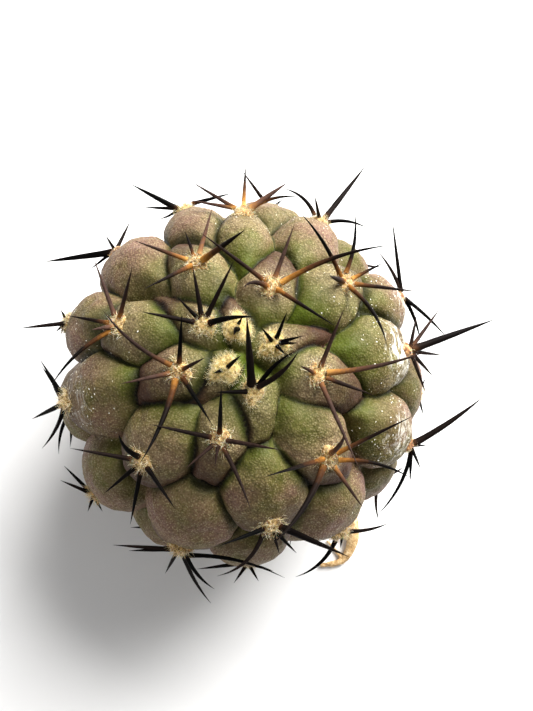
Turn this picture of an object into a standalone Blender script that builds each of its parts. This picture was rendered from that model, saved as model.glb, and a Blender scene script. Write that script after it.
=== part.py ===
"""A small copiapoa cactus, lifted out of the ground and standing on the cut foot of its own root.

The body is a flattened globe of tubercles set on a golden-angle spiral. Each tubercle carries one areole:
a felt pad with its spines grown into it. A corky root crown with dried side roots holds the body up.
Metres, +Z up the plant's axis, origin at the middle of the foot on the surface that it stands on.
"""

import math
import random
from dataclasses import dataclass

import bmesh
import bpy
import numpy as np

# Driving sizes of the body, in metres
BODY_RADIUS = 0.0287
CROWN_HEIGHT = 0.024
UNDERSIDE_DEPTH = 0.0225
RING_HEIGHT = 0.0265
FOOT_SEAT = -0.0180
CROWN_DIP = 0.0012
DIP_REACH = 0.3
SMOOTH_UNDERSIDE = math.radians(132.0)
UNDERSIDE_CALM = 0.42
STEM_SPLITS = 5

# Tubercles: narrow and short at the crown, broad and long down the flanks. The crest is where each is
# widest: just below the areole at the crown, well above it on the flanks, with a long neck above it
# and a chin below
CROWN_HALF_WIDTH = 0.0020
FLANK_HALF_WIDTH = 0.0050
WIDTH_POWER = 0.6
CROWN_NECK = 0.0012
NECK_GROWTH = 0.0118
LONGEST_NECK = 0.0145
CREST_SHIFT = (0.0008, -0.0042)
CREST_SPAN = (math.radians(25.0), math.radians(60.0))
CHIN_LENGTH = 0.0104
CHIN_DROOP = 0.0011
HEIGHT_TO_WIDTH = 0.92
BLEND_POWER = 12.0
DOME_POWER = 0.62
PLATEAU = 2.5
NECK_ROUNDNESS = 1.7
CHIN_ROUNDNESS = 2.4
OVERLAP = 1.25
SHOULDER = 0.35
NECK_TAPER = 0.32
NECK_POWER = 1.5
CHIN_TAPER = 0.2
SEAT_STEP = 0.02

# The spiral that the tubercles follow, and where the rule takes over from the ones seen from above
SPIRAL_START = 92.0
SPIRAL_STEP = 138.0
TUBERCLE_COUNT = 44
LAST_SEEN_POLAR = 98.5
POLAR_STEP = 2.7

# Areoles and spines
GAP = 0.0003
PAD_HALF_WIDTH = 0.00115
PAD_HALF_LENGTH = 0.0015
PAD_HEIGHT = 0.0009
PAD_SIDES = 6
PAD_PROFILE = ((0.0, 0.8), (0.4, 1.0), (0.85, 0.6))
SPINE_RADIUS = 0.00048
SPINE_SIDES = 3
SPINE_STEPS = 3
SPINE_TAPER = 0.55
SPINE_TAPER_POWER = 1.3
SPINE_SINK = 0.35
SPINE_SPREAD = 0.00045
SLIM_SHARE = 0.62
STOUT_LENGTH = 0.016
SHORT_SPINE = 0.006
RADIAL_LIFT = 30.0
SMALLEST_AREOLE = 0.6
SEED = 41

# The viewpoint above the plant from which the seen spines are measured, and the search for their slant
VIEWPOINT = (-0.0050, -0.0211, 0.1547)
VIEW_TILT = math.radians(11.78)
VIEW_LEAN = math.radians(20.0)
RING_DISTANCE = 0.130
SLIDES = 121
SLIDE_REACH = 1.5
SLIDE_COST = 14.0

# Fans of spines low on the flank: bearings off downhill and lifts in degrees, lengths and bows in mm
FAN_BEARINGS = (-92.0, -46.0, 2.0, 47.0, 93.0)
FAN_SCATTER = 11.0
FAN_LIFT = (24.0, 40.0)
FAN_LENGTH = (4.2, 7.5)
FAN_BOW = 0.5
LOWER_SHARE = 0.6
WORN_SPAN = 40.0
WORN_LOSS = 0.35

# Finishes: colour and roughness
SKIN_FINISH = ((0.13, 0.15, 0.06), 0.6)
SPINE_FINISH = ((0.03, 0.02, 0.015), 0.5)
BARK_FINISH = ((0.45, 0.28, 0.12), 0.8)

# Root crown and dried side roots
CROWN_PROFILE = ((0.0, 0.0068), (0.12, 0.0082), (0.45, 0.0078), (0.8, 0.0068), (1.0, 0.0058))
CROWN_SIDES = 14
CROWN_LOBES = 3.0
CROWN_TWIST = 2.0
CROWN_WOBBLE = 0.07
CROWN_RIPPLES = 5.0
CROWN_RIPPLE = 0.04
ROOT_SIDES = 6
ROOT_STEPS = 9
ROOT_CLEARANCE = 0.0001
ROOT_START = 0.003
ROOT_DROP_SHARE = 0.2
ROOT_SWAY = 14.0
ROOT_WAVES = 8.0
ROOT_THINNING = 0.7
ROOT_THINNING_POWER = 1.5
ROOT_CURL_POWER = 3.0
TUBE_GUIDE = (0.13, 0.29, 0.95)


@dataclass(frozen=True)
class Spine:
    """One spine as seen: bearing from the right and lift off the skin in degrees, reach and bow in mm."""

    bearing: float
    reach: float
    lift: float = RADIAL_LIFT
    bow: float = 0.0
    stout: float = 1.0


@dataclass(frozen=True)
class Areole:
    """One areole: azimuth and polar angle in degrees, its spines and its tubercle's share of full breadth."""

    azimuth: float
    polar: float
    spines: tuple = ()
    breadth: float = 1.0


@dataclass(frozen=True)
class Root:
    """One dried root: azimuth in degrees, length and thickness in mm, and how far its heading turns."""

    azimuth: float
    length: float
    thickness: float
    curl: float
    start_height: float = 5.0


# A short name for the rows of the table
S = Spine
SEEN_AREOLES = (
    Areole(112.3, 7.4, (S(0, 0.4, 84), S(250, 1.2, 60), S(60, 1.3, 62))),
    Areole(217.3, 7.7, (S(42, 2.8, 60), S(200, 1.4, 55))),
    Areole(17.3, 7.5, (S(68, 4.8, 50), S(128, 2.8, 50), S(15, 4.1, 40), S(1, 3.2, 40), S(-45, 2.0, 45))),
    Areole(146.8, 14.2, (
        S(100, 8.8), S(64, 10.7, 34), S(8, 7.6, 34, 0.3, 1.2), S(169, 9.3), S(134, 5.1, 38),
    ), 0.9),
    Areole(276.3, 10.7, (
        S(94, 11.1, 50, 0, 1.6), S(41, 9.0, 42, -0.6, 1.2), S(44, 8.4, 36, 0.4), S(181, 5.4, 35),
    )),
    Areole(69.7, 20.0, (
        S(70, 9.8), S(19, 19.6, 30, 0.9, 1.2), S(143, 13.5), S(181, 4.0, 40, -0.6, 1.2), S(-32, 11.3),
    )),
    Areole(195.6, 19.1, (
        S(87, 8.4), S(28, 4.2, 38), S(141, 15.0, 30, 0.8), S(192, 8.7), S(247, 15.2, 30, 0.5, 1.3),
        S(-58, 9.5),
    )),
    Areole(342.2, 19.9, (
        S(68, 10.7), S(12, 17.0, 30, -0.5, 1.2), S(-20, 8.7), S(-66, 16.0), S(152, 2.8, 45),
    )),
    Areole(117.8, 30.5, (
        S(36, 8.8, 50, 0, 1.45), S(74, 8.5), S(110, 4.7), S(160, 9.8), S(206, 8.8),
    ), 0.88),
    Areole(251.8, 24.7, (
        S(88, 7.9, 35), S(168, 10.7), S(-10, 9.3), S(221, 6.4), S(261, 3.7), S(-66, 11.6, 30, 0.2),
    ), 0.84),
    Areole(37.6, 37.8, (
        S(122, 12.5, 30, -0.5), S(82, 10.9, 30, -0.6), S(27, 6.2, 35), S(-7, 11.1), S(-57, 11.7, 30, 0.9),
        S(158, 2.4, 65, 0, 1.3),
    ), 0.95),
    Areole(165.1, 39.3, (
        S(110, 10.5), S(76, 8.8), S(170, 7.3), S(188, 3.5, 75, 0, 1.4), S(223, 13.9, 26, -0.8),
    ), 0.88),
    Areole(308.4, 37.7, (
        S(57, 4.6, 45, -0.4, 1.2), S(26, 14.4), S(-14, 13.1, 30, 0.8), S(-55, 9.3),
        S(237, 15.9, 24, 0.8, 1.4), S(197, 10.1),
    )),
    Areole(90.2, 52.0, (
        S(35, 8.0, 50, 0, 1.45), S(87, 7.2), S(149, 9.0), S(170, 8.0, 22), S(14, 8.6, 13, 0.7),
    ), 0.72),
    Areole(224.8, 43.5, (S(131, 5.3, 45, 0.5, 1.2), S(170, 11.0), S(220, 7.3), S(259, 9.5), S(-56, 8.6))),
    Areole(4.9, 57.0, (
        S(20, 14.5, 58, 0, 1.45), S(54, 8.1), S(79, 5.4), S(-7, 5.0), S(-70, 6.9), S(-48, 5.2, 12),
    )),
    Areole(136.0, 71.0, (S(188, 11.1, 58, 0, 1.45), S(122, 2.6), S(64, 4.9), S(218, 4.5, 8)), 0.95),
    Areole(278.7, 53.3, (
        S(-24, 12.6, 45, 0, 1.5), S(223, 11.1, 26, 1.2), S(201, 8.2, 30), S(-74, 4.0), S(-46, 5.2, 18),
    ), 1.07),
    Areole(62.5, 64.5, (
        S(52, 11.6, 58, 0, 1.2), S(140, 7.5, 28, -0.9), S(101, 3.8), S(-9, 7.1, 15, 0.6),
    ), 0.84),
    Areole(190.5, 65.5, (
        S(206, 6.0, 30, 0, 1.2), S(241, 7.9, 30, 0.4), S(251, 4.9), S(122, 7.3), S(125, 6.2, 20),
    )),
    Areole(336.0, 74.0, (
        S(34, 13.5, 55, -0.6, 1.3), S(0, 2.3, 50), S(-92, 5.4, 10), S(-66, 3.6), S(-118, 12.0, 5, 0.9),
    ), 0.9),
    Areole(109.0, 70.0, (
        S(152, 9.1, 50, 0, 1.4), S(178, 6.2, 15), S(208, 4.2, 4, 0.3), S(15, 7.6, 10),
    ), 0.78),
    Areole(250.0, 73.5, (
        S(176, 10.0, 20), S(182, 7.4, 4), S(241, 4.3), S(-50, 7.9, 30, -0.5), S(-60, 9.7, 12, -0.4),
        S(-13, 17.0, 8, 0.9),
    ), 1.06),
    Areole(26.0, 74.5, (
        S(97, 12.0, 20), S(120, 7.8, 10, -0.4), S(-43, 9.4, 16, 0.3), S(-70, 7.5, 12, 0.4),
    ), 0.84),
    Areole(163.5, 73.0, (S(186, 7.5, 35), S(255, 1.8, 10), S(118, 1.8, 25), S(222, 2.0, 15)), 0.92),
    Areole(301.5, 79.0, (S(222, 9.6, 12, 0.9), S(12, 7.1, 15, -0.3), S(-95, 1.9, 28)), 1.04),
    Areole(80.0, 87.7, (S(126, 7.2, 10), S(40, 2.2, 25), S(-60, 2.5, 20))),
    Areole(218.0, 90.4, (S(135, 6.1, 15), S(157, 5.3, 15), S(250, 2.5, 20), S(-60, 2.5, 20))),
    Areole(356.0, 93.1, (S(256, 6.8, 12), S(-75, 3.2, 15), S(60, 2.2, 20))),
    Areole(134.0, 95.8, (S(200, 2.0, 20), S(95, 2.0, 20), S(245, 3.0, 20))),
    Areole(272.0, 98.5, (S(187, 7.7, 12), S(-17, 3.7, 15), S(235, 3.5, 15), S(-60, 3.0, 20))),
)

ROOTS = (
    Root(-34.0, 41.0, 3.9, -195.0, 4.0),
    Root(12.0, 25.0, 2.4, 50.0),
    Root(83.0, 29.0, 2.6, -60.0, 4.5),
    Root(150.0, 24.0, 2.2, 45.0, 6.0),
    Root(205.0, 28.0, 2.7, 70.0, 4.0),
    Root(262.0, 22.0, 2.0, -40.0, 6.0),
)
BRANCH_FORK = 0.78
BRANCH_TURN = -105.0
BRANCH_LENGTH = 3.6
BRANCH_STEPS = 4
BRANCH_GIRTH = (0.6, 0.32)

MM = 0.001


def direction(azimuth, polar):
    """Unit vector at an azimuth and a polar angle, both in radians."""
    level = math.sin(polar)
    return np.array([level * math.cos(azimuth), level * math.sin(azimuth), math.cos(polar)])


def half_width(polar):
    """Half width of a tubercle at a polar angle: small at the crown, grown down the flanks."""
    return CROWN_HALF_WIDTH + FLANK_HALF_WIDTH * np.sin(polar) ** WIDTH_POWER


def all_areoles():
    """The areoles seen from above, then the rest of the spiral down the flanks, with fans of spines."""
    areoles = list(SEEN_AREOLES)
    for index in range(len(SEEN_AREOLES), TUBERCLE_COUNT):
        past = index - len(SEEN_AREOLES) + 1
        azimuth = (SPIRAL_START + SPIRAL_STEP * index) % 360.0
        areoles.append(Areole(azimuth, LAST_SEEN_POLAR + POLAR_STEP * past))
    return areoles


class Body:
    """The stem's surface: a flattened globe with one swollen tubercle under each areole."""

    def __init__(self, areoles):
        azimuths = np.radians([a.azimuth for a in areoles])
        polars = np.radians([a.polar for a in areoles])
        self.axes = np.array([direction(a, p) for a, p in zip(azimuths, polars)])
        self.down = np.array([direction(a, p + math.pi / 2) for a, p in zip(azimuths, polars)])
        self.side = np.cross(self.axes, self.down)
        self.rise = HEIGHT_TO_WIDTH * half_width(polars)
        self.width = half_width(polars) * np.array([a.breadth for a in areoles])
        inner, outer = CREST_SHIFT
        first, last = CREST_SPAN
        grown = np.clip((polars - first) / (last - first), 0.0, 1.0)
        self.crest = inner + (outer - inner) * grown ** 2 * (3.0 - 2.0 * grown)
        self.neck = np.minimum(CROWN_NECK + NECK_GROWTH * polars, LONGEST_NECK) + self.crest

    def points(self, units):
        """Places on the skin, in metres, for an array of unit vectors."""
        polar = np.arccos(np.clip(units[:, 2], -1.0, 1.0))
        beneath = np.clip((polar - SMOOTH_UNDERSIDE) / (math.pi - SMOOTH_UNDERSIDE), 0.0, 1.0)
        full = HEIGHT_TO_WIDTH * half_width(polar) * (1.0 - UNDERSIDE_CALM * beneath)
        apart = units @ self.axes.T
        along = (units @ self.down.T) * BODY_RADIUS - self.crest
        along = np.where(along < 0.0, along / self.neck, along / CHIN_LENGTH)
        neck = np.clip((-along - SHOULDER) / (1.0 - SHOULDER), 0.0, 1.0) ** NECK_POWER
        narrow = 1.0 - NECK_TAPER * neck - CHIN_TAPER * np.clip(along, 0.0, 1.0)
        across = (units @ self.side.T) * BODY_RADIUS / (self.width * narrow)
        round_by = np.where(along < 0.0, NECK_ROUNDNESS, CHIN_ROUNDNESS)
        reach = (np.abs(along) ** round_by + np.abs(across) ** round_by) ** (1.0 / round_by)
        inside = np.clip(1.0 - (reach / OVERLAP) ** PLATEAU, 0.0, 1.0)
        domes = np.where(apart > 0.0, inside ** DOME_POWER * self.rise, 0.0)
        rise = np.sum(domes ** BLEND_POWER, axis=1) ** (1.0 / BLEND_POWER)
        height = np.where(units[:, 2] > 0.0, CROWN_HEIGHT, UNDERSIDE_DEPTH)
        outer = np.column_stack([units[:, :2] * BODY_RADIUS, units[:, 2] * height])
        normal = np.column_stack([units[:, :2] / BODY_RADIUS, units[:, 2] / height])
        normal /= np.linalg.norm(normal, axis=1)[:, None]
        level = np.hypot(units[:, 0], units[:, 1])
        rim = np.maximum(level, 1e-9)[:, None]
        downhill = np.column_stack([units[:, :2] / rim * units[:, 2:3], -level])
        share = (rise / full)[:, None]
        skin = outer + normal * (rise - full)[:, None]
        skin += downhill * CHIN_DROOP * level[:, None] * (share ** 2 - 1.0)
        skin[:, 2] -= CROWN_DIP * np.exp(-(level / DIP_REACH) ** 2) * (units[:, 2] > 0.0)
        skin[:, 2] = np.maximum(skin[:, 2], FOOT_SEAT) + RING_HEIGHT
        return skin

    def seat(self, index):
        """An areole's place on the skin, with the outward, downhill and sideways directions there."""
        axis, down, side = self.axes[index], self.down[index], self.side[index]
        near = [axis]
        for turn in (down, -down, side, -side):
            near.append(axis + SEAT_STEP * turn)
        units = np.array([u / np.linalg.norm(u) for u in near])
        place, lower, upper, left, right = self.points(units)
        outward = np.cross(lower - upper, left - right)
        outward /= np.linalg.norm(outward)
        downhill = (lower - upper) - outward * np.dot(lower - upper, outward)
        downhill /= np.linalg.norm(downhill)
        return place, outward, downhill, np.cross(outward, downhill)


def view_axes():
    """Right, up and back of the viewpoint's picture, as unit vectors."""
    level = math.sin(VIEW_TILT)
    back = np.array([-level * math.sin(VIEW_LEAN), -level * math.cos(VIEW_LEAN), math.cos(VIEW_TILT)])
    right = np.array([1.0, 0.0, 0.0]) - back[0] * back
    right /= np.linalg.norm(right)
    return right, np.cross(back, right), back


def seen_spine_line(spine, start, outward):
    """Unit direction and length of a spine that is given by its bearing and reach from the viewpoint.

    Its point lies somewhere on a line of sight. Of all places there, the one is taken that lifts the spine
    off the skin by about its own angle without slanting it much towards or away from the viewpoint.
    """
    right, up, back = view_axes()
    bearing = math.radians(spine.bearing)
    scale = float(np.dot(VIEWPOINT - start, back)) / RING_DISTANCE
    across = (math.cos(bearing) * right + math.sin(bearing) * up) * spine.reach * MM * scale
    sight = start + across - VIEWPOINT
    sight /= np.linalg.norm(sight)
    widest = max(SLIDE_REACH, SLIDE_REACH * math.tan(math.radians(spine.lift)))
    slides = np.linspace(-widest, widest, SLIDES)
    lines = across + slides[:, None] * np.linalg.norm(across) * sight
    lengths = np.linalg.norm(lines, axis=1)
    lifts = np.degrees(np.arcsin(lines @ outward / lengths))
    best = int(np.argmin(np.abs(lifts - spine.lift) + SLIDE_COST * np.minimum(np.abs(slides), SLIDE_REACH)))
    return lines[best] / lengths[best], float(lengths[best])


def fan_spine_lines(areole, outward, downhill, sideways):
    """Directions and lengths of the spines of an areole low on the flank, spread as an even fan."""
    draw = random.Random(SEED + int(areole.azimuth))
    worn = min(1.0, max(0.0, (areole.polar - LAST_SEEN_POLAR) / WORN_SPAN))
    lines = []
    for bearing in FAN_BEARINGS:
        turn = math.radians(bearing + draw.uniform(-FAN_SCATTER, FAN_SCATTER))
        lift = math.radians(draw.uniform(*FAN_LIFT))
        length = draw.uniform(*FAN_LENGTH) * (1.0 - WORN_LOSS * worn)
        if abs(bearing) < FAN_SCATTER:
            length *= LOWER_SHARE
        flat = math.cos(turn) * downhill + math.sin(turn) * sideways
        bow = draw.uniform(-FAN_BOW, FAN_BOW)
        lines.append((math.cos(lift) * flat + math.sin(lift) * outward, length * MM, bow))
    return lines


def tube(name, path, radii, sides):
    """A closed tapered tube along a path. A last radius of zero closes it in a point."""
    path = [np.asarray(p, dtype=float) for p in path]
    mesh = bmesh.new()
    rings = []
    for step, (place, radius) in enumerate(zip(path, radii)):
        ahead = path[min(step + 1, len(path) - 1)] - path[max(step - 1, 0)]
        ahead /= np.linalg.norm(ahead)
        first = np.cross(TUBE_GUIDE, ahead)
        first /= np.linalg.norm(first)
        second = np.cross(ahead, first)
        if radius == 0.0:
            rings.append([mesh.verts.new(place)])
            continue
        turns = [2.0 * math.pi * k / sides for k in range(sides)]
        spokes = [math.cos(t) * first + math.sin(t) * second for t in turns]
        rings.append([mesh.verts.new(place + radius * spoke) for spoke in spokes])
    for low, high in zip(rings, rings[1:]):
        for k in range(sides):
            after = (k + 1) % sides
            if len(high) == 1:
                mesh.faces.new((low[k], low[after], high[0]))
            else:
                mesh.faces.new((low[k], low[after], high[after], high[k]))
    mesh.faces.new(list(reversed(rings[0])))
    if len(rings[-1]) > 1:
        mesh.faces.new(rings[-1])
    return as_object(name, mesh)


def as_object(name, mesh):
    """Turn a bmesh into a linked object, with its faces in triangles and pointing out."""
    bmesh.ops.triangulate(mesh, faces=mesh.faces[:])
    bmesh.ops.recalc_face_normals(mesh, faces=mesh.faces[:])
    data = bpy.data.meshes.new(name)
    mesh.to_mesh(data)
    mesh.free()
    thing = bpy.data.objects.new(name, data)
    bpy.context.scene.collection.objects.link(thing)
    return thing


def spine_object(name, start, line, length, bow, radius):
    """One curved spine from inside its pad to its point."""
    sideways = np.cross(np.array([0.0, 0.0, 1.0]), line)
    sideways /= max(np.linalg.norm(sideways), 1e-9)
    steps = SPINE_STEPS if length > SHORT_SPINE else SPINE_STEPS - 1
    path = []
    for step in range(steps + 1):
        share = step / steps
        path.append(start + line * length * share + sideways * bow * MM * 4.0 * share * (1.0 - share))
    thinning = [SPINE_TAPER * (step / steps) ** SPINE_TAPER_POWER for step in range(steps)]
    radii = [radius * (1.0 - thinner) for thinner in thinning] + [0.0]
    return tube(name, path, radii, SPINE_SIDES)


def pad_object(name, place, outward, downhill, sideways, scale):
    """The felt pad of one areole: a low oval cushion with a flat underside."""
    mesh = bmesh.new()
    rings = []
    for level, spread in PAD_PROFILE:
        ring = []
        for k in range(PAD_SIDES):
            turn = 2.0 * math.pi * k / PAD_SIDES
            flat = math.cos(turn) * PAD_HALF_LENGTH * downhill + math.sin(turn) * PAD_HALF_WIDTH * sideways
            ring.append(mesh.verts.new(place + scale * (flat * spread + outward * PAD_HEIGHT * level)))
        rings.append(ring)
    top = mesh.verts.new(place + scale * outward * PAD_HEIGHT)
    for low, high in zip(rings, rings[1:]):
        for k in range(PAD_SIDES):
            after = (k + 1) % PAD_SIDES
            mesh.faces.new((low[k], low[after], high[after], high[k]))
    for k in range(PAD_SIDES):
        mesh.faces.new((rings[-1][k], rings[-1][(k + 1) % PAD_SIDES], top))
    mesh.faces.new(list(reversed(rings[0])))
    return as_object(name, mesh)


def fuse(base, pieces):
    """Join pieces to a base object by one Boolean union on a collection, then remove the pieces."""
    group = bpy.data.collections.new(base.name + "_pieces")
    bpy.context.scene.collection.children.link(group)
    for piece in pieces:
        group.objects.link(piece)
        bpy.context.scene.collection.objects.unlink(piece)
    union = base.modifiers.new("union", "BOOLEAN")
    union.operation = "UNION"
    union.operand_type = "COLLECTION"
    union.collection = group
    union.solver = "MANIFOLD"
    graph = bpy.context.evaluated_depsgraph_get()
    joined = bpy.data.meshes.new_from_object(base.evaluated_get(graph))
    base.modifiers.remove(union)
    base.data = joined
    for piece in pieces:
        bpy.data.objects.remove(piece, do_unlink=True)
    bpy.data.collections.remove(group)
    return base


def finish(thing, colour, roughness):
    """Give an object its own material and smooth shading."""
    material = bpy.data.materials.new(thing.name + "_finish")
    material.use_nodes = True
    shader = material.node_tree.nodes["Principled BSDF"]
    shader.inputs["Base Color"].default_value = (*colour, 1.0)
    shader.inputs["Roughness"].default_value = roughness
    shader.inputs["Metallic"].default_value = 0.0
    thing.data.materials.clear()
    thing.data.materials.append(material)
    thing.data.shade_smooth()


def make_stem(body):
    """The green body with all its tubercles, as one closed skin."""
    mesh = bmesh.new()
    bmesh.ops.create_icosphere(mesh, subdivisions=STEM_SPLITS, radius=1.0)
    units = np.array([v.co for v in mesh.verts])
    units /= np.linalg.norm(units, axis=1)[:, None]
    for vertex, place in zip(mesh.verts, body.points(units)):
        vertex.co = place
    stem = as_object("stem", mesh)
    finish(stem, *SKIN_FINISH)
    return stem


def make_areole(body, areole, index):
    """One areole: its felt pad with the spines grown into it."""
    name = f"areole_{index + 1:02d}"
    place, outward, downhill, sideways = body.seat(index)
    widest = CROWN_HALF_WIDTH + FLANK_HALF_WIDTH
    scale = SMALLEST_AREOLE + (1.0 - SMALLEST_AREOLE) * float(body.width[index] / widest)
    foot = place + outward * GAP
    pad = pad_object(name, foot, outward, downhill, sideways, scale)
    core = foot + outward * PAD_HEIGHT * SPINE_SINK * scale
    if areole.spines:
        rows = [(*seen_spine_line(s, core, outward), s.bow, s.stout) for s in areole.spines]
    else:
        rows = [(*row, 1.0) for row in fan_spine_lines(areole, outward, downhill, sideways)]
    spines = []
    for number, (line, length, bow, stout) in enumerate(rows):
        along = line - outward * float(np.dot(line, outward))
        start = core + along * SPINE_SPREAD * scale
        radius = SPINE_RADIUS * stout * min(1.0, SLIM_SHARE + length / STOUT_LENGTH)
        spines.append(spine_object(f"{name}_spine_{number}", start, line, length, bow, radius))
    fuse(pad, spines)
    finish(pad, *SPINE_FINISH)
    return pad


def root_path(root):
    """Middle line and radii of a side root: out of the crown, down to the surface and away along it."""
    draw = random.Random(SEED + int(root.azimuth))
    wave = draw.uniform(0.0, 2.0 * math.pi)
    place = ROOT_START * direction(math.radians(root.azimuth), math.pi / 2)
    stride = root.length * MM / ROOT_STEPS
    path, radii = [], []
    for step in range(ROOT_STEPS + 1):
        share = step / ROOT_STEPS
        radius = root.thickness * MM / 2.0 * (1.0 - ROOT_THINNING * share ** ROOT_THINNING_POWER)
        drop = math.exp(-((share / ROOT_DROP_SHARE) ** 2))
        place[2] = radius + ROOT_CLEARANCE + root.start_height * MM * drop
        path.append(place.copy())
        radii.append(radius)
        turn = root.curl * share ** ROOT_CURL_POWER + ROOT_SWAY * math.sin(wave + ROOT_WAVES * share)
        place = place + stride * direction(math.radians(root.azimuth + turn), math.pi / 2)
    return path, radii


def make_branch(path, radii):
    """A short fork off the first, longest root."""
    fork = round(BRANCH_FORK * ROOT_STEPS)
    ahead = path[fork + 1] - path[fork]
    turn = math.radians(BRANCH_TURN)
    ahead = np.array([
        math.cos(turn) * ahead[0] - math.sin(turn) * ahead[1],
        math.sin(turn) * ahead[0] + math.cos(turn) * ahead[1],
        0.0,
    ])
    ahead /= np.linalg.norm(ahead)
    places, sizes = [], []
    thick, thin = BRANCH_GIRTH
    for step in range(BRANCH_STEPS + 1):
        share = step / BRANCH_STEPS
        radius = radii[fork] * (thick + (thin - thick) * share)
        place = path[fork] + ahead * BRANCH_LENGTH * MM * share
        place[2] = radius + ROOT_CLEARANCE
        places.append(place)
        sizes.append(radius)
    return tube("branch", places, sizes, ROOT_SIDES)


def make_root():
    """The corky root crown on its flat foot, with its side roots lying round it."""
    mesh = bmesh.new()
    top = RING_HEIGHT + FOOT_SEAT - GAP
    rings = []
    for level, radius in CROWN_PROFILE:
        ring = []
        for k in range(CROWN_SIDES):
            turn = 2.0 * math.pi * k / CROWN_SIDES
            wobble = 1.0 + CROWN_WOBBLE * math.sin(CROWN_LOBES * turn + CROWN_TWIST * level)
            wobble += CROWN_RIPPLE * math.sin(CROWN_RIPPLES * turn - level)
            reach = radius * wobble
            height = top * (1.0 - level)
            ring.append(mesh.verts.new((reach * math.cos(turn), reach * math.sin(turn), height)))
        rings.append(ring)
    for low, high in zip(rings, rings[1:]):
        for k in range(CROWN_SIDES):
            after = (k + 1) % CROWN_SIDES
            mesh.faces.new((low[k], low[after], high[after], high[k]))
    mesh.faces.new(list(reversed(rings[0])))
    mesh.faces.new(rings[-1])
    crown = as_object("root", mesh)
    side_roots = []
    for number, root in enumerate(ROOTS):
        path, radii = root_path(root)
        side_roots.append(tube(f"side_root_{number}", path, radii, ROOT_SIDES))
        if number == 0:
            side_roots.append(make_branch(path, radii))
    fuse(crown, side_roots)
    finish(crown, *BARK_FINISH)
    return crown


def main():
    """Clear the scene and build every piece of the plant."""
    for thing in list(bpy.data.objects):
        bpy.data.objects.remove(thing, do_unlink=True)
    areoles = all_areoles()
    body = Body(areoles)
    make_stem(body)
    make_root()
    for index, areole in enumerate(areoles):
        make_areole(body, areole, index)


main()
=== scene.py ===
"""The looks of a small copiapoa cactus, lifted with its dried root: skin, spines, felt, wool, scurf and bark.

Every piece is made in metres in the part's own frame: +Z is the plant's axis, and the foot stands on z = 0.
"""

import logging
import math
import random
from collections.abc import Callable
from dataclasses import dataclass, field
from enum import Enum
from functools import partial

import bpy
import numpy as np
from mathutils import Matrix, Vector


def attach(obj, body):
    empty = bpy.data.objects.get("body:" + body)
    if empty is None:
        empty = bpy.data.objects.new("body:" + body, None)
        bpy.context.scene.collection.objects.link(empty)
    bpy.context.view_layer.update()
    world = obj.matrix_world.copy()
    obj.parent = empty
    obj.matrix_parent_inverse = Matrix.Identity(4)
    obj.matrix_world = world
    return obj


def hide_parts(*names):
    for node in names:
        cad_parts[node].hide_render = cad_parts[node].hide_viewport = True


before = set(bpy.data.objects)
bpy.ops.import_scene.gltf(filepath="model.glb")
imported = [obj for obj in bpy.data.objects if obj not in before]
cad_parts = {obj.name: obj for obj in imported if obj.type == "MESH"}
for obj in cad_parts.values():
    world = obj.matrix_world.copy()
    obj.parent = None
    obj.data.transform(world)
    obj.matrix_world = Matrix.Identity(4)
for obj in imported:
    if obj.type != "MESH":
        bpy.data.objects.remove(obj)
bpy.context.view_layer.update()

log = logging.getLogger("copiapoa")

Tree = bpy.types.NodeTree
Node = bpy.types.Node
Socket = bpy.types.NodeSocket
Material = bpy.types.Material
Mesh = bpy.types.Mesh
Thing = bpy.types.Object
Array = np.ndarray

# Blender's names for the nodes that come up most
MATH = "ShaderNodeMath"
RANGE = "ShaderNodeMapRange"
NOISE = "ShaderNodeTexNoise"
MIX = "ShaderNodeMix"
RAMP = "ShaderNodeValToRGB"
BUMP = "ShaderNodeBump"
PLACE = "ShaderNodeTexCoord"
MARK = "ShaderNodeAttribute"
SOCKET_TYPES = {float: "NodeSocketFloat", int: "NodeSocketInt", Material: "NodeSocketMaterial"}

MM = 0.001
# In radians, for random phases and turns
WHOLE_TURN = 6.28
TINY = 1e-9
IMAGE_WIDTH = 533
IMAGE_HEIGHT = 711


@dataclass(frozen=True)
class Spine:
    """One spine as seen: bearing from the right and lift off the skin in degrees, reach and bow in mm."""

    bearing: float
    reach: float
    lift: float = 30.0
    bow: float = 0.0
    stout: float = 1.0


@dataclass(frozen=True)
class Areole:
    """One areole: azimuth and polar angle in degrees, rows for its seen spines, its tubercle's breadth."""

    azimuth: float
    polar: float
    spines: tuple = ()
    breadth: float = 1.0


@dataclass(frozen=True)
class SideRoot:
    """One dried root: azimuth and whole turn in degrees, length, thickness and start height in mm."""

    azimuth: float
    length: float
    thickness: float
    curl: float
    start_height: float = 5.0


class FeltAge(Enum):
    """How old felt is: its freshness, its fibres' reach, fibres per square mm, and the spread of its pad."""

    WOOLLY = (1.0, 0.6, 46.0, 1.6)
    FRESH = (0.7, 0.66, 38.0, 1.3)
    MATTED = (0.4, 0.76, 25.5, 1.12)
    WORN = (0.0, 0.55, 11.0, 0.85)


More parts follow.
